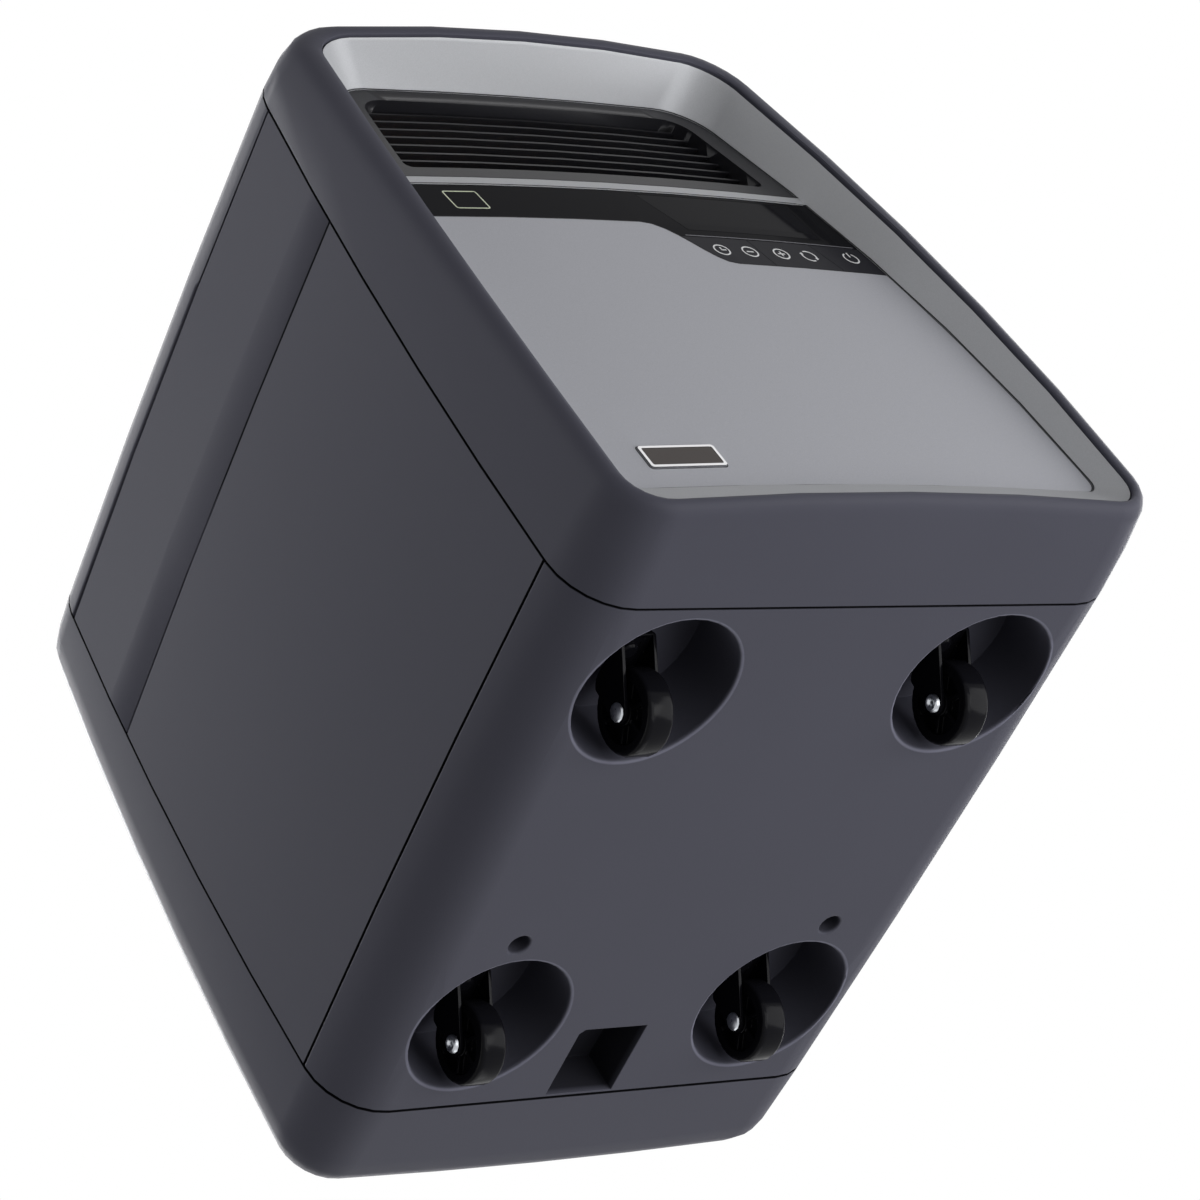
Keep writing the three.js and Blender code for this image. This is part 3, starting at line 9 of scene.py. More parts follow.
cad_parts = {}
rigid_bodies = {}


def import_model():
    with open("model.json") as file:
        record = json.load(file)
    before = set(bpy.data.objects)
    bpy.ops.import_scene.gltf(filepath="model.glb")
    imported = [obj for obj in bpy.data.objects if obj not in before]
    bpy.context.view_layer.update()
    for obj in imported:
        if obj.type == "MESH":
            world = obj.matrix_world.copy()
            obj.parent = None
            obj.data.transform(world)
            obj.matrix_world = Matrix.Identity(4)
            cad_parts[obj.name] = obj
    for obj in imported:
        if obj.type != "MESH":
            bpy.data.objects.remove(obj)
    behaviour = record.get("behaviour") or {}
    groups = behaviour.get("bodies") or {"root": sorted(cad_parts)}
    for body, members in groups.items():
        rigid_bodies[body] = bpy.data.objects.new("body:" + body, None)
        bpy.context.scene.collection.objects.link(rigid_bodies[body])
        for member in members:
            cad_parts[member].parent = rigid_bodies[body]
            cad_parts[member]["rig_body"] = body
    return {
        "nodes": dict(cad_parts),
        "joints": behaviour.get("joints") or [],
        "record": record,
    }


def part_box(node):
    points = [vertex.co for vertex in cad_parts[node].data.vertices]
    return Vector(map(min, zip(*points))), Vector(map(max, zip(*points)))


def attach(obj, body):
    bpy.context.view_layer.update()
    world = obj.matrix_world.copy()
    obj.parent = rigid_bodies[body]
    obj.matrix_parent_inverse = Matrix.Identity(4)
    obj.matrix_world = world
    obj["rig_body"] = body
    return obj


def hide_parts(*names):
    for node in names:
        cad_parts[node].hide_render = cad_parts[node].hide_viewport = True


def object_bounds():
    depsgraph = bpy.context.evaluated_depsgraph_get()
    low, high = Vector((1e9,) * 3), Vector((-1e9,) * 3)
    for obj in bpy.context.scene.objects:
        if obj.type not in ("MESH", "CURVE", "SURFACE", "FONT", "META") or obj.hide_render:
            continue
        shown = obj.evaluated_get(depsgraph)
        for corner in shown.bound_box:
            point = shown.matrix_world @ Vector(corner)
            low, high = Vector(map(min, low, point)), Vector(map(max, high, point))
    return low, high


bl_info = {
    "name": "Quartz Heater Looks",
    "version": (1, 0, 0),
    "blender": (4, 5, 0),
    "location": "3D View > Sidebar > Heater",
    "description": "Finishes, printed symbols, plated trim, lamps and camera of the quartz heater",
    "category": "Object",
}

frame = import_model()
cad_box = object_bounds()

MILLIMETRE = 0.001
CORNERS = ("front_left", "front_right", "rear_left", "rear_right")

# Cleaning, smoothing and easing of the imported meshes
MERGE_DISTANCE = 0.000002
COPLANAR = math.radians(0.1)
SHARP = math.radians(32)
EDGE_SEGMENTS = 2
COVER_EDGE = 0.0005
WHEEL_EDGE = 0.0005
FORK_EDGE = 0.0003

# Painted shadow of the gaps round the front panel and the frame: thin dark strips that run round the
# faces
# whose normal has a y below the limit: their thickness and widths
FRONT_LIMIT = -0.1
GAP_SHADOW_THICKNESS = 0.00006
PANEL_GAP_SHADOW_WIDTH = 0.0005
FRAME_GAP_SHADOW_WIDTH = 0.0006

# Prints: steps of a ring, the gap under the ink, and how far in front of the keys they start
SYMBOL_STEPS = 48
LIFT = 0.00004
STAND_OFF = 0.004

# Places of the prints and of the painted highlight line above the keys: right of the middle and above
# the underside, in millimetres
TIMER_PLACE = (34.2, 217.5)
MINUS_PLACE = (51.4, 217.5)
PLUS_PLACE = (70.7, 217.5)
MODE_PLACE = (88.1, 217.5)
POWER_PLACE = (115.8, 219.0)
KEY_LINE_PLACE = (72, 229.4)
OUTLINE_PLACE = (-90.3, 254.75)

# Sizes of the line above the keys, a painted highlight of the fascia's lower edge, and of the outline
# on the fascia
KEY_LINE_LENGTH = 0.104
KEY_LINE_WIDTH = 0.0006
OUTLINE_WIDTH = 0.019
OUTLINE_HEIGHT = 0.0157
OUTLINE_CORNER = 0.0016

# Openings of the ring symbols: their angles and half their width, in degrees
MODE_OPENINGS = (135, 315)
MODE_HALF = 22
POWER_OPENINGS = (90,)
POWER_HALF = 28

# The front face of the keys: depth behind the front seam by height above the underside, in millimetres
FACE_DEPTH = -41.05
FACE_LEAN = 0.0209
FACE_CURVE = 0.0002045
FACE_BOW = 4.3
FACE_BOW_REACH = 144

# Soft lamps: their direction as seen from the camera (right, up, towards it) and their power in watts
LAMP_SIZE = 1.6
LAMP_DISTANCE = 2.4
CAMERA_LAMPS = (
    ("front_lamp", (0.75, 0.0, 0.65), 25.0),
    ("right_lamp", (1.0, 0.05, 0.12), 30.0),
    ("upper_lamp", (0.0, 1.0, 0.15), 2.0),
    ("upper_left_lamp", (-0.9, 0.45, 0.0), 13.0),
    ("left_lamp", (-1.0, 0.0, 0.2), 9.0),
    ("lower_lamp", (0.15, -0.95, -0.12), 9.3),
)

# Lamps for the sides that the camera does not see, by their direction in the room
ROOM_LAMPS = (
    ("top_lamp", (0.2, 0.8, 1.0), 30.0),
    ("rear_lamp", (0.2, 1.0, 0.5), 26.0),
    ("far_lamp", (1.0, 0.3, 0.5), 26.0),
)

# The floor: its size and colour, and how far out it starts and ends to fade
FLOOR_SIZE = 12
FLOOR_WHITE = (0.84, 0.84, 0.84)
FLOOR_START = 0.35
FLOOR_END = 0.95

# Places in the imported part: the joints, the front seam, from which a front caster is set back, and
# the underside
PIVOT = {joint["name"]: Vector(joint.get("pos_m") or (0, 0, 0)) for joint in frame["joints"]}
CASTER_SET_BACK = 0.0484
SEAM_Y = PIVOT["swivel_front_left"].y - CASTER_SET_BACK
UNDERSIDE_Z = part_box("base_cover")[0].z

# Painted shade in the grooves between the panels: half their width, how far the painted shade reaches,
# how fast the upper two fall, and how far from the middle the ones along the sides begin
GROOVE_HALF = 0.00065
GROOVE_REACH = 0.00085
GROOVE_FALL = 0.0096 / 0.3102
SIDE_REACH = 0.145
LOWER_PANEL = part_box("side_panel_lower_left")
UPPER_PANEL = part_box("side_panel_upper_left")
REAR_Y = LOWER_PANEL[1].y + GROOVE_HALF

# Painted shade in the recesses of the underside: the pocket at the back, taken 4 mm wider and longer
# than it is so that its walls darken too, and the screw holes. The painted shade falls between two
# heights above the underside, over a fade that is shorter towards the rear
POCKET_SIDES = (-0.0306, 0.0166)
POCKET_LENGTH = 0.05
HOLE_RADIUS = 0.0064
SCREW_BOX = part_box("base_screw_right")
RECESS_START = 0.0005
RECESS_END = 0.06
RECESS_FADE = 0.0035
REAR_STEEPNESS = 5

# A painted highlight on the rounded lips of the caster wells: radius, height, half width and fade
LIP_RADIUS = 0.0424
LIP_HEIGHT = 0.002
LIP_HALF = 0.0009
LIP_FADE = 0.0006

# Shares of the shell's colour: painted shade in the grooves and in the recesses, a painted highlight on
# the lips, and how it varies
GROOVE_SHADOW_TONE = 0.06
RECESS_SHADOW_TONE = 0.25
LIP_HIGHLIGHT_TONE = 2.1
SHELL_SPREAD = 0.06

# The grain of moulded plastic: noise scale, depth, and how much it and broad patches change roughness
GRAIN = 1100
GRAIN_DEPTH = 0.00004
GRAIN_SHARE = 0.06
PATCH_SHARE = 0.08


# Settings


class FinishSettings(bpy.types.PropertyGroup):
    """Colours of the heater's finishes."""

    shell: bpy.props.FloatVectorProperty(
        name="Shell", description="Charcoal plastic of the cabinet", subtype="COLOR", size=3,
        min=0, max=1, default=(0.077, 0.0775, 0.100),
    )
    trim: bpy.props.FloatVectorProperty(
        name="Trim", description="Silver paint of the frame round the front", subtype="COLOR", size=3,
        min=0, max=1, default=(0.446, 0.454, 0.474),
    )
    panel: bpy.props.FloatVectorProperty(
        name="Front panel", description="Grey paint of the front panel", subtype="COLOR", size=3,
        min=0, max=1, default=(0.42, 0.426, 0.464),
    )
    gloss: bpy.props.FloatVectorProperty(
        name="Gloss black", description="Polished black of the fascia", subtype="COLOR", size=3,
        min=0, max=1, default=(0.007, 0.007, 0.009),
    )
    satin: bpy.props.FloatVectorProperty(
        name="Satin black", description="Black of the outlet and the intake", subtype="COLOR", size=3,
        min=0, max=1, default=(0.011, 0.011, 0.0135),
    )
    keys: bpy.props.FloatVectorProperty(
        name="Keys", description="Dark plastic of the keys", subtype="COLOR", size=3,
        min=0, max=1, default=(0.018, 0.018, 0.023),
    )
    ink: bpy.props.FloatVectorProperty(
        name="Symbols", description="Printed symbols on the keys", subtype="COLOR", size=3,
        min=0, max=1, default=(0.83, 0.84, 0.85),
    )
    # Colour of the painted highlight along the fascia's lower edge
    line: bpy.props.FloatVectorProperty(
        name="Key line", description="Thin line above the keys", subtype="COLOR", size=3,
        min=0, max=1, default=(0.16, 0.16, 0.18),
    )
    outline: bpy.props.FloatVectorProperty(
        name="Outline", description="Printed outline on the fascia", subtype="COLOR", size=3,
        min=0, max=1, default=(0.80, 0.86, 0.66),
    )


class DetailSettings(bpy.types.PropertyGroup):
    """Sizes of the printed details."""

    ring_radius: bpy.props.FloatProperty(
        name="Symbol radius", description="Outer radius of a key symbol", subtype="DISTANCE",
        unit="LENGTH", min=0.001, max=0.01, default=0.0046,
    )
    stroke: bpy.props.FloatProperty(
        name="Symbol stroke", description="Width of the printed lines", subtype="DISTANCE",
        unit="LENGTH", min=0.0001, max=0.002, default=0.00085,
    )
    ink_thickness: bpy.props.FloatProperty(
        name="Ink thickness", description="Height of the print above the key", subtype="DISTANCE",
        unit="LENGTH", min=0.00001, max=0.001, default=0.00006,
    )
    outline_stroke: bpy.props.FloatProperty(
        name="Outline stroke", description="Width of the outline on the fascia", subtype="DISTANCE",
        unit="LENGTH", min=0.0001, max=0.002, default=0.0007,
    )


class StageSettings(bpy.types.PropertyGroup):
    """Lamps, surroundings and camera."""

    lens: bpy.props.FloatProperty(
        name="Lens", description="Focal length of the camera", unit="CAMERA",
        min=20, max=400, default=140.69,
    )
    camera_place: bpy.props.FloatVectorProperty(
        name="Camera place", description="From the front seam at the underside, in metres",
        subtype="XYZ", size=3, default=(-1.33804, -1.05986, -1.17344),
    )
    camera_forward: bpy.props.FloatVectorProperty(
        name="Camera direction", description="Where the camera looks", subtype="DIRECTION", size=3,
        default=(0.60192, 0.53360, 0.59411),
    )
    camera_up: bpy.props.FloatVectorProperty(
        name="Camera up", description="The picture's upward direction", subtype="DIRECTION", size=3,
        default=(0.00855, -0.74824, 0.66337),
    )
    lamp_level: bpy.props.FloatProperty(
        name="Lamp level", description="Share of their power that all the lamps give", subtype="FACTOR",
        min=0, max=4, default=1.0,
    )
    ambient: bpy.props.FloatProperty(
        name="Ambient", description="Light that comes evenly from all round",
        min=0, max=2, default=0.15,
    )


# Selection and modelling helpers


def only(piece):
    """Selects one piece and nothing else."""
    bpy.ops.object.select_all(action="DESELECT")
    piece.select_set(True)
    bpy.context.view_layer.objects.active = piece


def applied(piece, kind, **settings):
    """Adds one modifier and applies it."""
    only(piece)
    modifier = piece.modifiers.new(kind.title(), kind)
    for name, value in settings.items():
        setattr(modifier, name, value)
    bpy.ops.object.modifier_apply(modifier=modifier.name)


def settled(piece):
    """Puts the place of a new piece into its mesh."""
    only(piece)
    bpy.ops.object.transform_apply(location=True, rotation=True, scale=True)


def delete_faces(piece, chosen):
    """Deletes the faces that the given test picks."""
    only(piece)
    bpy.ops.object.mode_set(mode="EDIT")
    bpy.ops.mesh.select_mode(type="FACE")
    bpy.ops.mesh.select_all(action="DESELECT")
    bpy.ops.object.mode_set(mode="OBJECT")
    for polygon in piece.data.polygons:
        polygon.select = chosen(polygon)
    bpy.ops.object.mode_set(mode="EDIT")
    bpy.ops.mesh.delete(type="FACE")
    bpy.ops.object.mode_set(mode="OBJECT")


def named(piece, name, look, body):
    """Names a piece, gives it its finish and lets it ride on a body."""
    piece.name = name
    piece.data.name = name
    piece.data.materials.clear()
    piece.data.materials.append(look)
    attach(piece, body)
    return piece


def node_facts(node):
    """The body and the material slot of a node."""
    body = frame["nodes"][node]["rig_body"]
    slots = {row["node"]: row["material_slot"] for row in frame["record"]["subparts"]}
    return body, slots[node]


def cleaned(node, name):
    """A copy of a node without doubled points and needless edges."""
    piece = bpy.data.objects.new(name, frame["nodes"][node].data.copy())
    bpy.context.scene.collection.objects.link(piece)
    only(piece)
    bpy.ops.object.mode_set(mode="EDIT")
    bpy.ops.mesh.select_all(action="SELECT")
    bpy.ops.mesh.remove_doubles(threshold=MERGE_DISTANCE)
    bpy.ops.mesh.dissolve_limited(angle_limit=COPLANAR)
    bpy.ops.object.mode_set(mode="OBJECT")
    return piece


def dressed(node, look, edge=0.0):
    """A smooth copy of a node, with eased edges where edge is given, which stands for it."""
    piece = cleaned(node, node + "_finished")
    if edge:
        applied(
            piece, "BEVEL", width=edge, segments=EDGE_SEGMENTS, limit_method="ANGLE",
            angle_limit=SHARP, use_clamp_overlap=False,
        )
    only(piece)
    bpy.ops.object.shade_smooth_by_angle(angle=SHARP)
    applied(piece, "WEIGHTED_NORMAL", keep_sharp=True)
    body, slot = node_facts(node)
    named(piece, piece.name, look, body)
    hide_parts(node)
    return piece


def painted_gap_shadow_strip(node, name, look, width):
    """A thin dark strip along the rim of the front faces of a node: painted shadow of the gap round it.
    """
    piece = cleaned(node, name)
    delete_faces(piece, lambda polygon: polygon.normal.y > FRONT_LIMIT)
    bpy.ops.object.mode_set(mode="EDIT")
    bpy.ops.mesh.select_all(action="SELECT")
    bpy.ops.mesh.inset(thickness=width, use_even_offset=False)
    bpy.ops.mesh.delete(type="FACE")
    bpy.ops.object.mode_set(mode="OBJECT")
    applied(piece, "SOLIDIFY", thickness=GAP_SHADOW_THICKNESS, offset=1.0)
    body, slot = node_facts(node)
    return named(piece, name, look, body)


def carried(node, look):
    """Gives a node that stays as it is its finish."""
    slots = frame["nodes"][node].material_slots
    slots[0].material = look


# Shader helpers


class Wire:
    """One socket, so that a pattern is written as a sum."""

    def __init__(self, look, socket):
        self.look = look
        self.socket = socket

    def math(self, operation, first, second):
        return self.look.add("ShaderNodeMath", {"operation": operation}, {0: first, 1: second})

    def __add__(self, other):
        return self.math("ADD", self, other)

    __radd__ = __add__

    def __sub__(self, other):
        return self.math("SUBTRACT", self, other)

    def __rsub__(self, other):
        return self.math("SUBTRACT", other, self)

    def __mul__(self, other):
        return self.math("MULTIPLY", self, other)

    __rmul__ = __mul__

    def size(self):
        return self.math("ABSOLUTE", self, self)

    def least(self, other):
        return self.math("MINIMUM", self, other)

    def most(self, other):
        return self.math("MAXIMUM", self, other)

    def clamped(self):
        return self.look.add("ShaderNodeClamp", None, {"Value": self})


class Look:
    """One material and the nodes in it."""

    def __init__(self, name, **constants):
        self.material = bpy.data.materials.new(name)
        self.material.use_nodes = True
        self.tree = self.material.node_tree
        self.shader = self.tree.nodes["Principled BSDF"]
        for socket, value in constants.items():
            self.set(socket.replace("_", " "), value)

    def set(self, socket, value):
        feed(self.tree, self.shader.inputs[socket], value)

    def add(self, kind, settings=None, sockets=None, output=0):
        made = self.tree.nodes.new(kind)
        for name, value in (settings or {}).items():
            if name == "stops":
                for stop, (place, level) in zip(made.color_ramp.elements, value):
                    stop.position = place
                    stop.color = (level, level, level, 1)
            else:
                setattr(made, name, value)
        for name, value in (sockets or {}).items():
            feed(self.tree, made.inputs[name], value)
        return Wire(self, made.outputs[output])

    def place(self):
        return self.add("ShaderNodeTexCoord", None, None, "Object")

    def noise(self, scale, detail=2.0, roughness=0.5):
        return self.add(
            "ShaderNodeTexNoise", None,
            {"Vector": self.place(), "Scale": scale, "Detail": detail, "Roughness": roughness},
        )

    def stretched(self, scale, stretch, detail=2.0):
        turned = self.add("ShaderNodeMapping", None, {"Vector": self.place(), "Scale": stretch})
        sockets = {"Vector": turned, "Scale": scale, "Detail": detail}
        return self.add("ShaderNodeTexNoise", None, sockets)

    def split(self, vector):
        parts = self.tree.nodes.new("ShaderNodeSeparateXYZ")
        feed(self.tree, parts.inputs[0], vector)
        return [Wire(self, part) for part in parts.outputs]

    def between(self, share, first, second):
        return self.add(
            "ShaderNodeMix", {"data_type": "RGBA"},
            {0: share, 6: opaque(first), 7: opaque(second)}, 2,
        )

    def varied(self, pattern, colour, spread):
        return self.between(pattern, scaled(colour, 1 - spread), scaled(colour, 1 + spread))

    def grained(self, broad, fine, roughness):
        rough = broad * PATCH_SHARE + fine * GRAIN_SHARE
        self.set("Roughness", (rough + (roughness - (PATCH_SHARE + GRAIN_SHARE) / 2)).clamped())
        self.bump(fine, GRAIN_DEPTH)

    def bump(self, height, distance):
        sockets = {"Height": height, "Distance": distance, "Strength": 1.0}
        self.set("Normal", self.add("ShaderNodeBump", None, sockets, "Normal"))


def feed(tree, socket, value):
    """Gives a socket a link or a value."""
    if isinstance(value, Wire):
        tree.links.new(value.socket, socket)
    else:
        socket.default_value = value


def opaque(colour):
    """A colour with its alpha, or the link that stands for it."""
    return colour if isinstance(colour, Wire) else (*colour[:3], 1.0)


def scaled(colour, share):
    """A darker or lighter colour of the same hue."""
    return tuple(channel * share for channel in colour[:3])


# Finishes


def moulded(name, colour, roughness, level, grain=GRAIN):
    """Moulded plastic with a fine spark-eroded grain."""
    look = Look(name, Specular_IOR_Level=level)
    broad = look.noise(9, 3)
    fine = look.noise(grain, 2)
    look.set("Base Color", look.varied(broad, colour, 0.1))
    look.grained(broad, fine, roughness)
    return look.material


def painted(name, colour, roughness, metallic, level):
    """Silver paint with fine flakes."""
    look = Look(name, Specular_IOR_Level=level)
    flakes = look.noise(2600, 1, 0.7)
    broad = look.noise(7, 2)
    look.set("Base Color", look.varied(flakes, colour, 0.16))
    look.set("Metallic", metallic)
    look.set("Roughness", (broad * 0.06 + flakes * 0.08 + (roughness - 0.07)).clamped())
    look.bump(flakes, 0.00001)
    return look.material


def polished(name, colour, roughness, level, smudge=0.05):
    """Polished plastic with faint smudges."""
    look = Look(name, Specular_IOR_Level=level)
    haze = look.noise(38, 4, 0.6)
    broad = look.noise(5, 2)
    look.set("Base Color", look.varied(broad, colour, 0.1))
    look.set("Roughness", (haze * smudge + roughness).clamped())
    look.bump(broad, 0.00002)
    return look.material


def metal(name, colour, roughness, scale, stretch=(1, 1, 1)):
    """Bare or plated metal with fine drawing lines."""
    look = Look(name, Metallic=1.0)
    lines = look.stretched(scale, stretch, 3)
    broad = look.noise(14, 3)
    look.set("Base Color", look.varied(broad, colour, 0.12))
    look.set("Roughness", (lines * 0.16 + (roughness - 0.08)).clamped())
    look.bump(lines, 0.000012)
    return look.material


def painted_groove_shade(x, y, z):
    """Painted shade: one in the grooves between the panels and nought elsewhere."""
    fallen = z + (y - SEAM_Y) * GROOVE_FALL
    across = (z - (LOWER_PANEL[0].z - GROOVE_HALF)).size()
    for level in (LOWER_PANEL[1].z, UPPER_PANEL[1].z):
        across = across.least((fallen - (level + GROOVE_HALF)).size())
    across = across.most(SIDE_REACH - x.size()).most(SEAM_Y - y).most(y - REAR_Y)
    nearest = across.least((y - SEAM_Y).size()).least((y - REAR_Y).size())
    return ((GROOVE_REACH - nearest) * (1 / (GROOVE_REACH - GROOVE_HALF))).clamped()


def painted_recess_shade(x, y, z):
    """Painted shade: one deep in the pocket and in the screw holes and nought elsewhere."""
    pocket = (x - POCKET_SIDES[0]).least(POCKET_SIDES[1] - x)
    pocket = pocket.least(y - (REAR_Y - POCKET_LENGTH)).least((REAR_Y - y) * REAR_STEEPNESS)
    middle = (SCREW_BOX[0] + SCREW_BOX[1]) / 2
    across = x.size() - middle.x
    along = y - middle.y
    hole = (HOLE_RADIUS ** 2 - (across * across + along * along)) * (1 / HOLE_RADIUS)
    depth = (z - (UNDERSIDE_Z + RECESS_START)).least(UNDERSIDE_Z + RECESS_END - z)
    return (pocket.most(hole).least(depth) * (1 / RECESS_FADE)).clamped()


def painted_lip_highlight(x, y, z):
    """Painted highlight: one on the rounded lips of the caster wells and nought elsewhere."""
    strays = []
    for corner in CORNERS:
        across = x - PIVOT["swivel_" + corner].x
        along = y - PIVOT["swivel_" + corner].y
        squares = across * across + along * along
        strays.append(((squares - LIP_RADIUS ** 2) * (0.5 / LIP_RADIUS)).size())
    nearest = strays[0].least(strays[1]).least(strays[2]).least(strays[3])
    below = UNDERSIDE_Z + LIP_HEIGHT - z
    return ((LIP_HALF - nearest).least(below) * (1 / LIP_FADE)).clamped()


def shell_plastic(finish):
    """Moulded plastic, with painted shade in its grooves and recesses and a painted highlight on the
    lips of the wells.
    """
    look = Look("shell", Specular_IOR_Level=0.06)
    broad = look.noise(9, 3)
    fine = look.noise(GRAIN, 2)
    x, y, z = look.split(look.place())
    colour = look.varied(broad, finish.shell, SHELL_SPREAD)
    # Painted highlight: the shell is about twice as light on the lips of the caster wells
    colour = look.between(painted_lip_highlight(x, y, z), colour, scaled(finish.shell, LIP_HIGHLIGHT_TONE))
    # Painted shade: the shell darkens deep in the pocket and the screw holes
    colour = look.between(painted_recess_shade(x, y, z), colour, scaled(finish.shell, RECESS_SHADOW_TONE))
    # Painted shade: the shell darkens almost to black in the grooves between the panels
    colour = look.between(painted_groove_shade(x, y, z), colour, scaled(finish.shell, GROOVE_SHADOW_TONE))
    look.set("Base Color", colour)
    look.grained(broad, fine, 0.5)
    return look.material


def silver_paint(finish):
    return painted("silver_trim", finish.trim, roughness=0.42, metallic=0.12, level=0.2)


def panel_paint(finish):
    return painted("front_grey", finish.panel, roughness=0.46, metallic=0.06, level=0.2)


def gloss_black(finish):
    return polished("gloss_black", finish.gloss, roughness=0.12, level=0.01)


def smoked_window(finish):
    tint = scaled(finish.gloss, 1.2)
    return polished("window", tint, roughness=0.07, level=0.014, smudge=0.03)


def badge_field():
    return moulded("badge_field", (0.096, 0.086, 0.083), roughness=0.4, level=0.05)


def satin_black(finish):
    return moulded("satin_black", finish.satin, roughness=0.4, level=0.3, grain=1500)


def key_plastic(finish):
    return polished("key_black", finish.keys, roughness=0.26, level=0.025, smudge=0.06)


def caster_nylon():
    colour = (0.006, 0.006, 0.008)
    return polished("caster_black", colour, roughness=0.1, level=0.05, smudge=0.1)


def bright_chrome():
    return metal("chrome_trim", (0.78, 0.78, 0.79), roughness=0.14, scale=90)


def bare_zinc():
    return metal("zinc", (0.5, 0.52, 0.55), roughness=0.3, scale=700)


def galvanised():
    """Sheet steel with the crystal pattern of its zinc."""
    look = Look("steel", Metallic=1.0)
    spangle = look.add(
        "ShaderNodeTexVoronoi", None, {"Vector": look.place(), "Scale": 110.0}, "Color"
    )
    grey = look.add("ShaderNodeRGBToBW", None, {"Color": spangle})
    look.set("Base Color", look.between(grey, (0.33, 0.34, 0.36), (0.5, 0.51, 0.53)))
    look.set("Roughness", (grey * 0.15 + 0.32).clamped())
    return look.material


def copper_sheet():
    return metal("copper", (0.62, 0.36, 0.21), roughness=0.26, scale=220, stretch=(1, 12, 12))


def bare_ceramic():
    """Unglazed ceramic with a chalky grain."""
    look = Look("ceramic", Specular_IOR_Level=0.3)
    grain = look.noise(700, 4)
    look.set("Base Color", look.between(grain, (0.66, 0.62, 0.54), (0.82, 0.79, 0.71)))
    look.set("Roughness", (grain * 0.12 + 0.72).clamped())
    look.bump(grain, 0.00006)
    return look.material


def milky_quartz():
    """Quartz tube with drawn streaks."""
    look = Look("quartz", Transmission_Weight=0.7, IOR=1.46)
    streaks = look.stretched(60, (0.15, 6, 6), 3)
    look.set("Base Color", look.between(streaks, (0.82, 0.78, 0.74), (0.95, 0.93, 0.9)))
    look.set("Roughness", (streaks * 0.2 + 0.12).clamped())
    return look.material


def solder_mask():
    """Circuit board green over copper tracks."""
    look = Look("circuit", Specular_IOR_Level=0.4)
    tracks = look.add(
        "ShaderNodeTexVoronoi", {"feature": "DISTANCE_TO_EDGE", "distance": "EUCLIDEAN"},
        {"Vector": look.place(), "Scale": 160.0}, "Distance",
    )
    line = look.add("ShaderNodeValToRGB", {"stops": ((0.02, 1.0), (0.06, 0.0))}, {"Fac": tracks})
    look.set("Base Color", look.between(line, (0.012, 0.07, 0.03), (0.03, 0.14, 0.06)))
    look.set("Roughness", (look.noise(200, 3) * 0.1 + 0.3).clamped())
    look.bump(line, 0.00003)
    return look.material


def open_foam():
    """Open foam with its pores."""
    look = Look("filter_foam", Specular_IOR_Level=0.2)
    pores = look.add(
        "ShaderNodeTexVoronoi", None, {"Vector": look.place(), "Scale": 900.0}, "Distance"
    )
    look.set("Base Color", look.between(pores, (0.008, 0.008, 0.01), (0.05, 0.05, 0.055)))
    look.set("Roughness", (pores * 0.1 + 0.85).clamped())
    look.bump(pores, 0.0004)
    return look.material


def printed(name, colour):
    """Screen-printed ink, a little uneven; the same look also makes the painted gap shadows and the
    painted highlight above the keys.
    """
    look = Look(name, Specular_IOR_Level=0.3)
    patchy = look.noise(2200, 2)
    look.set("Base Color", look.between(patchy, scaled(colour, 0.9), scaled(colour, 1.0)))
    look.set("Roughness", (patchy * 0.1 + 0.5).clamped())
    look.bump(patchy, 0.000008)
    return look.material


# Near-black strip material: painted shadow in the gaps round the panel and the frame
def painted_gap_shadow(finish):
    return printed("painted_gap_shadow", scaled(finish.shell, 0.1))


# Printed shapes


def face_depth(x, z):
    """How far the keys' front face lies behind the seam, in metres, for a place in millimetres."""
    bow = FACE_BOW * (1 - (x / FACE_BOW_REACH) ** 2)
    return (FACE_DEPTH + FACE_LEAN * z + FACE_CURVE * z * z - bow) * MILLIMETRE


def flat_ring(radius, stroke, openings=(), half=0.0):
    """A flat ring in the plane of the front, open about the given angles."""
    bpy.ops.object.select_all(action="DESELECT")
    bpy.ops.mesh.primitive_circle_add(
        vertices=SYMBOL_STEPS, radius=radius, fill_type="NGON", rotation=(math.pi / 2, 0, 0)
    )
    ring = bpy.context.object
    settled(ring)
    bpy.ops.object.mode_set(mode="EDIT")
    bpy.ops.mesh.select_all(action="SELECT")
    bpy.ops.mesh.inset(thickness=stroke)
    bpy.ops.mesh.delete(type="FACE")
    bpy.ops.object.mode_set(mode="OBJECT")
    for opening in openings:
        cut_ring(ring, opening, half)
    return ring


def cut_ring(ring, opening, half):
    """Takes out the faces of a ring about one angle, counted from the right towards the top."""

    def within(polygon):
        off = math.degrees(math.atan2(polygon.center.z, polygon.center.x)) - opening
        return abs((off + 180) % 360 - 180) < half

    delete_faces(ring, within)


def flat_bar(x, z, length, stroke, angle=0.0):
    """A flat bar in the plane of the front, cut fine enough to follow it."""
    bpy.ops.object.select_all(action="DESELECT")
    bpy.ops.mesh.primitive_plane_add(size=1, rotation=(math.pi / 2, 0, 0))
    bar = bpy.context.object
    settled(bar)
    bpy.ops.object.mode_set(mode="EDIT")
    bpy.ops.mesh.select_all(action="SELECT")
    bpy.ops.mesh.subdivide(number_cuts=3)
    bpy.ops.object.mode_set(mode="OBJECT")
    turn = Matrix.Rotation(-math.radians(angle), 4, "Y")
    bar.data.transform(Matrix.Translation((x, 0, z)) @ turn @ Matrix.Diagonal((length, 1, stroke, 1)))
    return bar


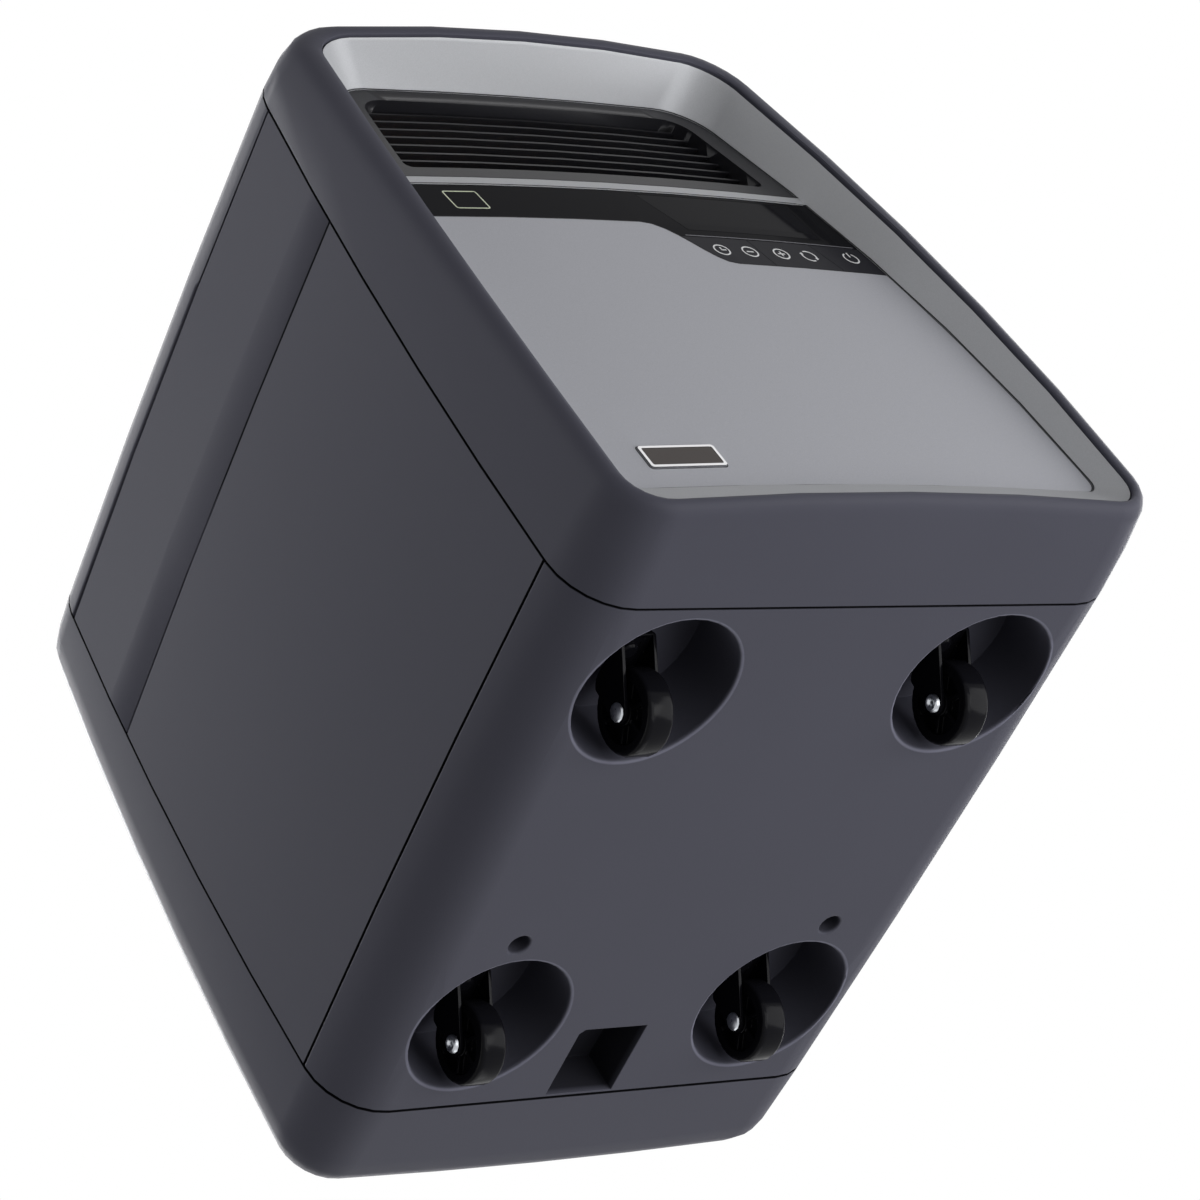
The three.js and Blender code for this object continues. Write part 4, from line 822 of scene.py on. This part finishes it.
def arrow_head(x, z, size, angle):
    """A flat triangle in the plane of the front."""
    bpy.ops.object.select_all(action="DESELECT")
    bpy.ops.mesh.primitive_circle_add(
        vertices=3, radius=size, fill_type="NGON", rotation=(math.pi / 2, 0, 0)
    )
    head = bpy.context.object
    settled(head)
    turn = Matrix.Rotation(-math.radians(angle), 4, "Y")
    head.data.transform(Matrix.Translation((x, 0, z)) @ turn)
    return head


def joined(pieces):
    """Makes one object of several."""
    bpy.ops.object.select_all(action="DESELECT")
    for piece in pieces:
        piece.select_set(True)
    bpy.context.view_layer.objects.active = pieces[0]
    bpy.ops.object.join()
    return pieces[0]


def laid_on(flat, place, thickness, host):
    """Lays a flat shape on the front at a place in millimetres, and gives it its thickness."""
    x, z = place
    start = (x * MILLIMETRE, SEAM_Y + face_depth(x, z) - STAND_OFF, z * MILLIMETRE + UNDERSIDE_Z)
    flat.data.transform(Matrix.Translation(start))
    applied(
        flat, "SHRINKWRAP", target=frame["nodes"][host], wrap_method="PROJECT", offset=LIFT,
        use_project_y=True, use_positive_direction=True, use_negative_direction=False,
    )
    only(flat)
    bpy.ops.object.mode_set(mode="EDIT")
    bpy.ops.mesh.select_all(action="SELECT")
    bpy.ops.mesh.normals_make_consistent(inside=False)
    bpy.ops.object.mode_set(mode="OBJECT")
    if sum(polygon.normal.y for polygon in flat.data.polygons) > 0:
        flat.data.flip_normals()
    applied(flat, "SOLIDIFY", thickness=thickness, offset=1.0)
    return flat


# Operators


class HEATER_OT_cabinet(bpy.types.Operator):
    """Dresses the bezel, the panels, the covers and the rear shell"""

    bl_idname = "heater.cabinet"
    bl_label = "Cabinet"

    def execute(self, context):
        look = shell_plastic(context.scene.heater_finish)
        for node in (
            "front_bezel", "top_cover", "base_cover", "side_panel_upper_left", "side_panel_lower_left",
            "side_panel_upper_right", "side_panel_lower_right", "rear_shell",
        ):
            dressed(node, look, edge=COVER_EDGE if node == "base_cover" else 0.0)
        return {"FINISHED"}


class HEATER_OT_front(bpy.types.Operator):
    """Dresses the silver frame, the grey panel and the badge"""

    bl_idname = "heater.front"
    bl_label = "Front"

    def execute(self, context):
        finish = context.scene.heater_finish
        dressed("front_frame", silver_paint(finish))
        dressed("front_panel", panel_paint(finish))
        # Painted shadow: thin near-black strips along the rims of the panel and the frame, where the
        # gaps' shade falls
        seam = painted_gap_shadow(finish)
        painted_gap_shadow_strip("front_panel", "panel_gap_shadow", seam, PANEL_GAP_SHADOW_WIDTH)
        painted_gap_shadow_strip("front_frame", "frame_gap_shadow", seam, FRAME_GAP_SHADOW_WIDTH)
        dressed("badge_frame", bright_chrome())
        dressed("badge_plate", badge_field())
        return {"FINISHED"}


class HEATER_OT_outlet(bpy.types.Operator):
    """Dresses the outlet grille"""

    bl_idname = "heater.outlet"
    bl_label = "Outlet"

    def execute(self, context):
        dressed("outlet_grille", satin_black(context.scene.heater_finish))
        return {"FINISHED"}


class HEATER_OT_controls(bpy.types.Operator):
    """Dresses the fascia, the window and the keys, and prints the symbols"""

    bl_idname = "heater.controls"
    bl_label = "Controls"

    def execute(self, context):
        finish = context.scene.heater_finish
        detail = context.scene.heater_detail
        dressed("control_fascia", gloss_black(finish))
        dressed("display_window", smoked_window(finish))
        keys = key_plastic(finish)
        for node in ("timer_minus_key", "plus_mode_key", "power_key"):
            dressed(node, keys)
        ink = printed("symbol_ink", finish.ink)
        symbols = (
            ("timer_symbol", timer_symbol, TIMER_PLACE, "timer_minus_key"),
            ("minus_symbol", minus_symbol, MINUS_PLACE, "timer_minus_key"),
            ("plus_symbol", plus_symbol, PLUS_PLACE, "plus_mode_key"),
            ("mode_symbol", mode_symbol, MODE_PLACE, "plus_mode_key"),
            ("power_symbol", power_symbol, POWER_PLACE, "power_key"),
        )
        for name, make, place, host in symbols:
            flat = make(detail.ring_radius, detail.stroke)
            piece = laid_on(flat, place, detail.ink_thickness, host)
            named(piece, name, ink, node_facts(host)[0])
        # A light strip above the keys: painted highlight of the fascia's lower edge, laid on like a
        # print
        line = flat_bar(0, 0, KEY_LINE_LENGTH, KEY_LINE_WIDTH)
        piece = laid_on(line, KEY_LINE_PLACE, detail.ink_thickness, "control_fascia")
        named(piece, "painted_key_edge_highlight", printed("painted_edge_highlight", finish.line), "cabinet")
        outline = outline_shape(detail.outline_stroke)
        piece = laid_on(outline, OUTLINE_PLACE, detail.ink_thickness, "control_fascia")
        named(piece, "fascia_outline", printed("outline_ink", finish.outline), "cabinet")
        return {"FINISHED"}


def timer_symbol(radius, stroke):
    """A ring with two clock hands."""
    reach = radius * 0.5
    return joined([
        flat_ring(radius, stroke),
        flat_bar(0, reach / 2, reach, stroke, 90),
        flat_bar(reach / 2, 0, reach + stroke, stroke, 0),
    ])


def minus_symbol(radius, stroke):
    """A ring round a minus."""
    return joined([flat_ring(radius, stroke), flat_bar(0, 0, radius * 0.9, stroke)])


def plus_symbol(radius, stroke):
    """A ring round a plus."""
    arm = radius * 0.9
    side = (arm - stroke) / 2
    return joined([
        flat_ring(radius, stroke),
        flat_bar(0, 0, arm, stroke),
        flat_bar(0, (side + stroke) / 2, side, stroke, 90),
        flat_bar(0, -(side + stroke) / 2, side, stroke, 90),
    ])


def mode_symbol(radius, stroke):
    """Two bent arrows that follow each other round."""
    middle = radius - stroke / 2
    heads = []
    for opening in MODE_OPENINGS:
        start = math.radians(opening + MODE_HALF * 0.8)
        place = (middle * math.cos(start), middle * math.sin(start))
        heads.append(arrow_head(*place, stroke * 1.5, opening + MODE_HALF - 180))
    return joined([flat_ring(radius, stroke, MODE_OPENINGS, MODE_HALF), *heads])


def power_symbol(radius, stroke):
    """An open ring with a bar in its opening."""
    return joined([
        flat_ring(radius, stroke, POWER_OPENINGS, POWER_HALF),
        flat_bar(0, radius * 0.62, radius * 0.85, stroke, 90),
    ])


def outline_shape(stroke):
    """A flat rounded frame in the plane of the front."""
    bpy.ops.object.select_all(action="DESELECT")
    bpy.ops.mesh.primitive_plane_add(size=1, rotation=(math.pi / 2, 0, 0))
    plate = bpy.context.object
    settled(plate)
    plate.data.transform(Matrix.Diagonal((OUTLINE_WIDTH, 1, OUTLINE_HEIGHT, 1)))
    bpy.ops.object.mode_set(mode="EDIT")
    bpy.ops.mesh.select_all(action="SELECT")
    bpy.ops.mesh.bevel(offset=OUTLINE_CORNER, segments=6, affect="VERTICES")
    bpy.ops.mesh.select_all(action="SELECT")
    bpy.ops.mesh.inset(thickness=stroke)
    bpy.ops.mesh.delete(type="FACE")
    bpy.ops.mesh.select_all(action="SELECT")
    bpy.ops.mesh.subdivide(number_cuts=2)
    bpy.ops.object.mode_set(mode="OBJECT")
    return plate


class HEATER_OT_casters(bpy.types.Operator):
    """Dresses the four casters"""

    bl_idname = "heater.casters"
    bl_label = "Casters"

    def execute(self, context):
        nylon = caster_nylon()
        zinc = bare_zinc()
        steel = galvanised()
        for corner in CORNERS:
            dressed("caster_fork_" + corner, nylon, edge=FORK_EDGE)
            dressed("caster_wheel_" + corner, nylon, edge=WHEEL_EDGE)
            dressed("caster_axle_" + corner, zinc)
            carried("caster_socket_" + corner, steel)
        return {"FINISHED"}


class HEATER_OT_insides(bpy.types.Operator):
    """Gives the pieces inside and at the back their finishes"""

    bl_idname = "heater.insides"
    bl_label = "Insides and back"

    def execute(self, context):
        finish = context.scene.heater_finish
        black = satin_black(finish)
        steel = galvanised()
        zinc = bare_zinc()
        ceramic = bare_ceramic()
        board = solder_mask()
        glass = milky_quartz()
        looks = {
            "air_filter": open_foam(), "inner_deck": steel, "heater_box": steel,
            "heat_reflector": copper_sheet(), "quartz_tube_1": glass, "quartz_tube_2": glass,
            "quartz_tube_3": glass, "tube_holder_left": ceramic, "tube_holder_right": ceramic,
            "blower_housing": steel, "blower_wheel": black, "blower_motor": zinc,
            "motor_bracket": steel, "power_board": board, "control_board": board,
            "led_display": black, "thermal_cutout": ceramic, "tip_switch": black,
        }
        for node, look in looks.items():
            carried(node, look)
        for node in ("intake_grille", "cord_gland"):
            dressed(node, black)
        for node in ("base_screw_left", "base_screw_right", "rear_screw_left", "rear_screw_right"):
            dressed(node, zinc)
        return {"FINISHED"}


class HEATER_OT_stage(bpy.types.Operator):
    """Sets the floor, the surroundings, the lamps and the camera"""

    bl_idname = "heater.stage"
    bl_label = "Stage"

    def execute(self, context):
        stage = context.scene.heater_stage
        lay_floor()
        surround(context.scene, stage.ambient)
        forward = Vector(stage.camera_forward).normalized()
        right = forward.cross(Vector(stage.camera_up)).normalized()
        up = right.cross(forward)
        middle = Vector((0, 0, (cad_box[0].z + cad_box[1].z) / 2))
        for name, (across, upward, back), power in CAMERA_LAMPS:
            direction = right * across + up * upward - forward * back
            hang_lamp(name, middle, direction, power * stage.lamp_level)
        for name, direction, power in ROOM_LAMPS:
            hang_lamp(name, middle, Vector(direction), power * stage.lamp_level)
        set_camera(context.scene, stage, forward, right, up)
        context.scene.view_settings.view_transform = "Standard"
        return {"FINISHED"}


def lay_floor():
    """A pale floor that shows from above only and fades into the white surroundings."""
    bpy.ops.object.select_all(action="DESELECT")
    bpy.ops.mesh.primitive_plane_add(size=FLOOR_SIZE, location=(0, 0, cad_box[0].z))
    floor = bpy.context.object
    settled(floor)
    floor.name = "floor"
    floor.visible_diffuse = False
    floor.visible_glossy = False
    floor.visible_transmission = False
    floor.visible_shadow = False
    look = Look("floor", Roughness=0.8)
    look.set("Base Color", opaque(FLOOR_WHITE))
    clear = look.add("ShaderNodeBsdfTransparent")
    x, y = look.split(look.place())[:2]
    span = FLOOR_END ** 2 - FLOOR_START ** 2
    far = ((x * x + y * y - FLOOR_START ** 2) * (1 / span)).clamped()
    behind = far.most(look.add("ShaderNodeNewGeometry", None, None, "Backfacing"))
    shown = look.add(
        "ShaderNodeMixShader", None,
        {0: behind, 1: Wire(look, look.shader.outputs[0]), 2: clear},
    )
    look.tree.links.new(shown.socket, look.tree.nodes["Material Output"].inputs[0])
    floor.data.materials.append(look.material)


def surround(scene, ambient):
    """White surroundings for the camera and for reflections, and a soft even light."""
    world = bpy.data.worlds.new("surroundings")
    scene.world = world
    world.use_nodes = True
    tree = world.node_tree
    light = tree.nodes["Background"]
    light.inputs["Color"].default_value = (1, 1, 1, 1)
    path = tree.nodes.new("ShaderNodeLightPath")
    total = path.outputs["Is Camera Ray"]
    for ray in ("Is Glossy Ray", "Is Transmission Ray"):
        either = tree.nodes.new("ShaderNodeMath")
        either.operation = "MAXIMUM"
        tree.links.new(total, either.inputs[0])
        tree.links.new(path.outputs[ray], either.inputs[1])
        total = either.outputs[0]
    level = tree.nodes.new("ShaderNodeMapRange")
    level.inputs["To Min"].default_value = ambient
    level.inputs["To Max"].default_value = 1.0
    tree.links.new(total, level.inputs["Value"])
    tree.links.new(level.outputs[0], light.inputs["Strength"])


def hang_lamp(name, middle, direction, power):
    """A square soft lamp that faces the heater."""
    data = bpy.data.lights.new(name, "AREA")
    data.shape = "SQUARE"
    data.size = LAMP_SIZE
    data.energy = power
    lamp = bpy.data.objects.new(name, data)
    bpy.context.scene.collection.objects.link(lamp)
    away = direction.normalized()
    lamp.location = middle + away * LAMP_DISTANCE
    lamp.rotation_euler = away.to_track_quat("Z", "Y").to_euler()


def set_camera(scene, stage, forward, right, up):
    """The camera at the photograph's angle."""
    data = bpy.data.cameras.new("camera")
    data.lens = stage.lens
    camera = bpy.data.objects.new("camera", data)
    scene.collection.objects.link(camera)
    turn = Matrix((right, up, -forward)).transposed().to_4x4()
    place = Vector(stage.camera_place) + Vector((0, SEAM_Y, UNDERSIDE_Z))
    camera.matrix_world = Matrix.Translation(place) @ turn
    scene.camera = camera


class HEATER_PT_panel(bpy.types.Panel):
    """Lists the settings and the steps"""

    bl_idname = "HEATER_PT_panel"
    bl_label = "Quartz heater"
    bl_space_type = "VIEW_3D"
    bl_region_type = "UI"
    bl_category = "Heater"

    def draw(self, context):
        scene = context.scene
        for group in (scene.heater_finish, scene.heater_detail, scene.heater_stage):
            box = self.layout.box()
            for name in group.__annotations__:
                box.prop(group, name)
        for step in STEPS:
            self.layout.operator(step.bl_idname)


STEPS = (
    HEATER_OT_cabinet,
    HEATER_OT_front,
    HEATER_OT_outlet,
    HEATER_OT_controls,
    HEATER_OT_casters,
    HEATER_OT_insides,
    HEATER_OT_stage,
)
CLASSES = (FinishSettings, DetailSettings, StageSettings, *STEPS, HEATER_PT_panel)


def register():
    for item in CLASSES:
        bpy.utils.register_class(item)
    bpy.types.Scene.heater_finish = bpy.props.PointerProperty(type=FinishSettings)
    bpy.types.Scene.heater_detail = bpy.props.PointerProperty(type=DetailSettings)
    bpy.types.Scene.heater_stage = bpy.props.PointerProperty(type=StageSettings)


def unregister():
    del bpy.types.Scene.heater_finish
    del bpy.types.Scene.heater_detail
    del bpy.types.Scene.heater_stage
    for item in reversed(CLASSES):
        bpy.utils.unregister_class(item)


def main():
    """Runs every step in order."""
    register()
    bpy.ops.heater.cabinet()
    bpy.ops.heater.front()
    bpy.ops.heater.outlet()
    bpy.ops.heater.controls()
    bpy.ops.heater.casters()
    bpy.ops.heater.insides()
    bpy.ops.heater.stage()


if __name__ == "__main__":
    main()
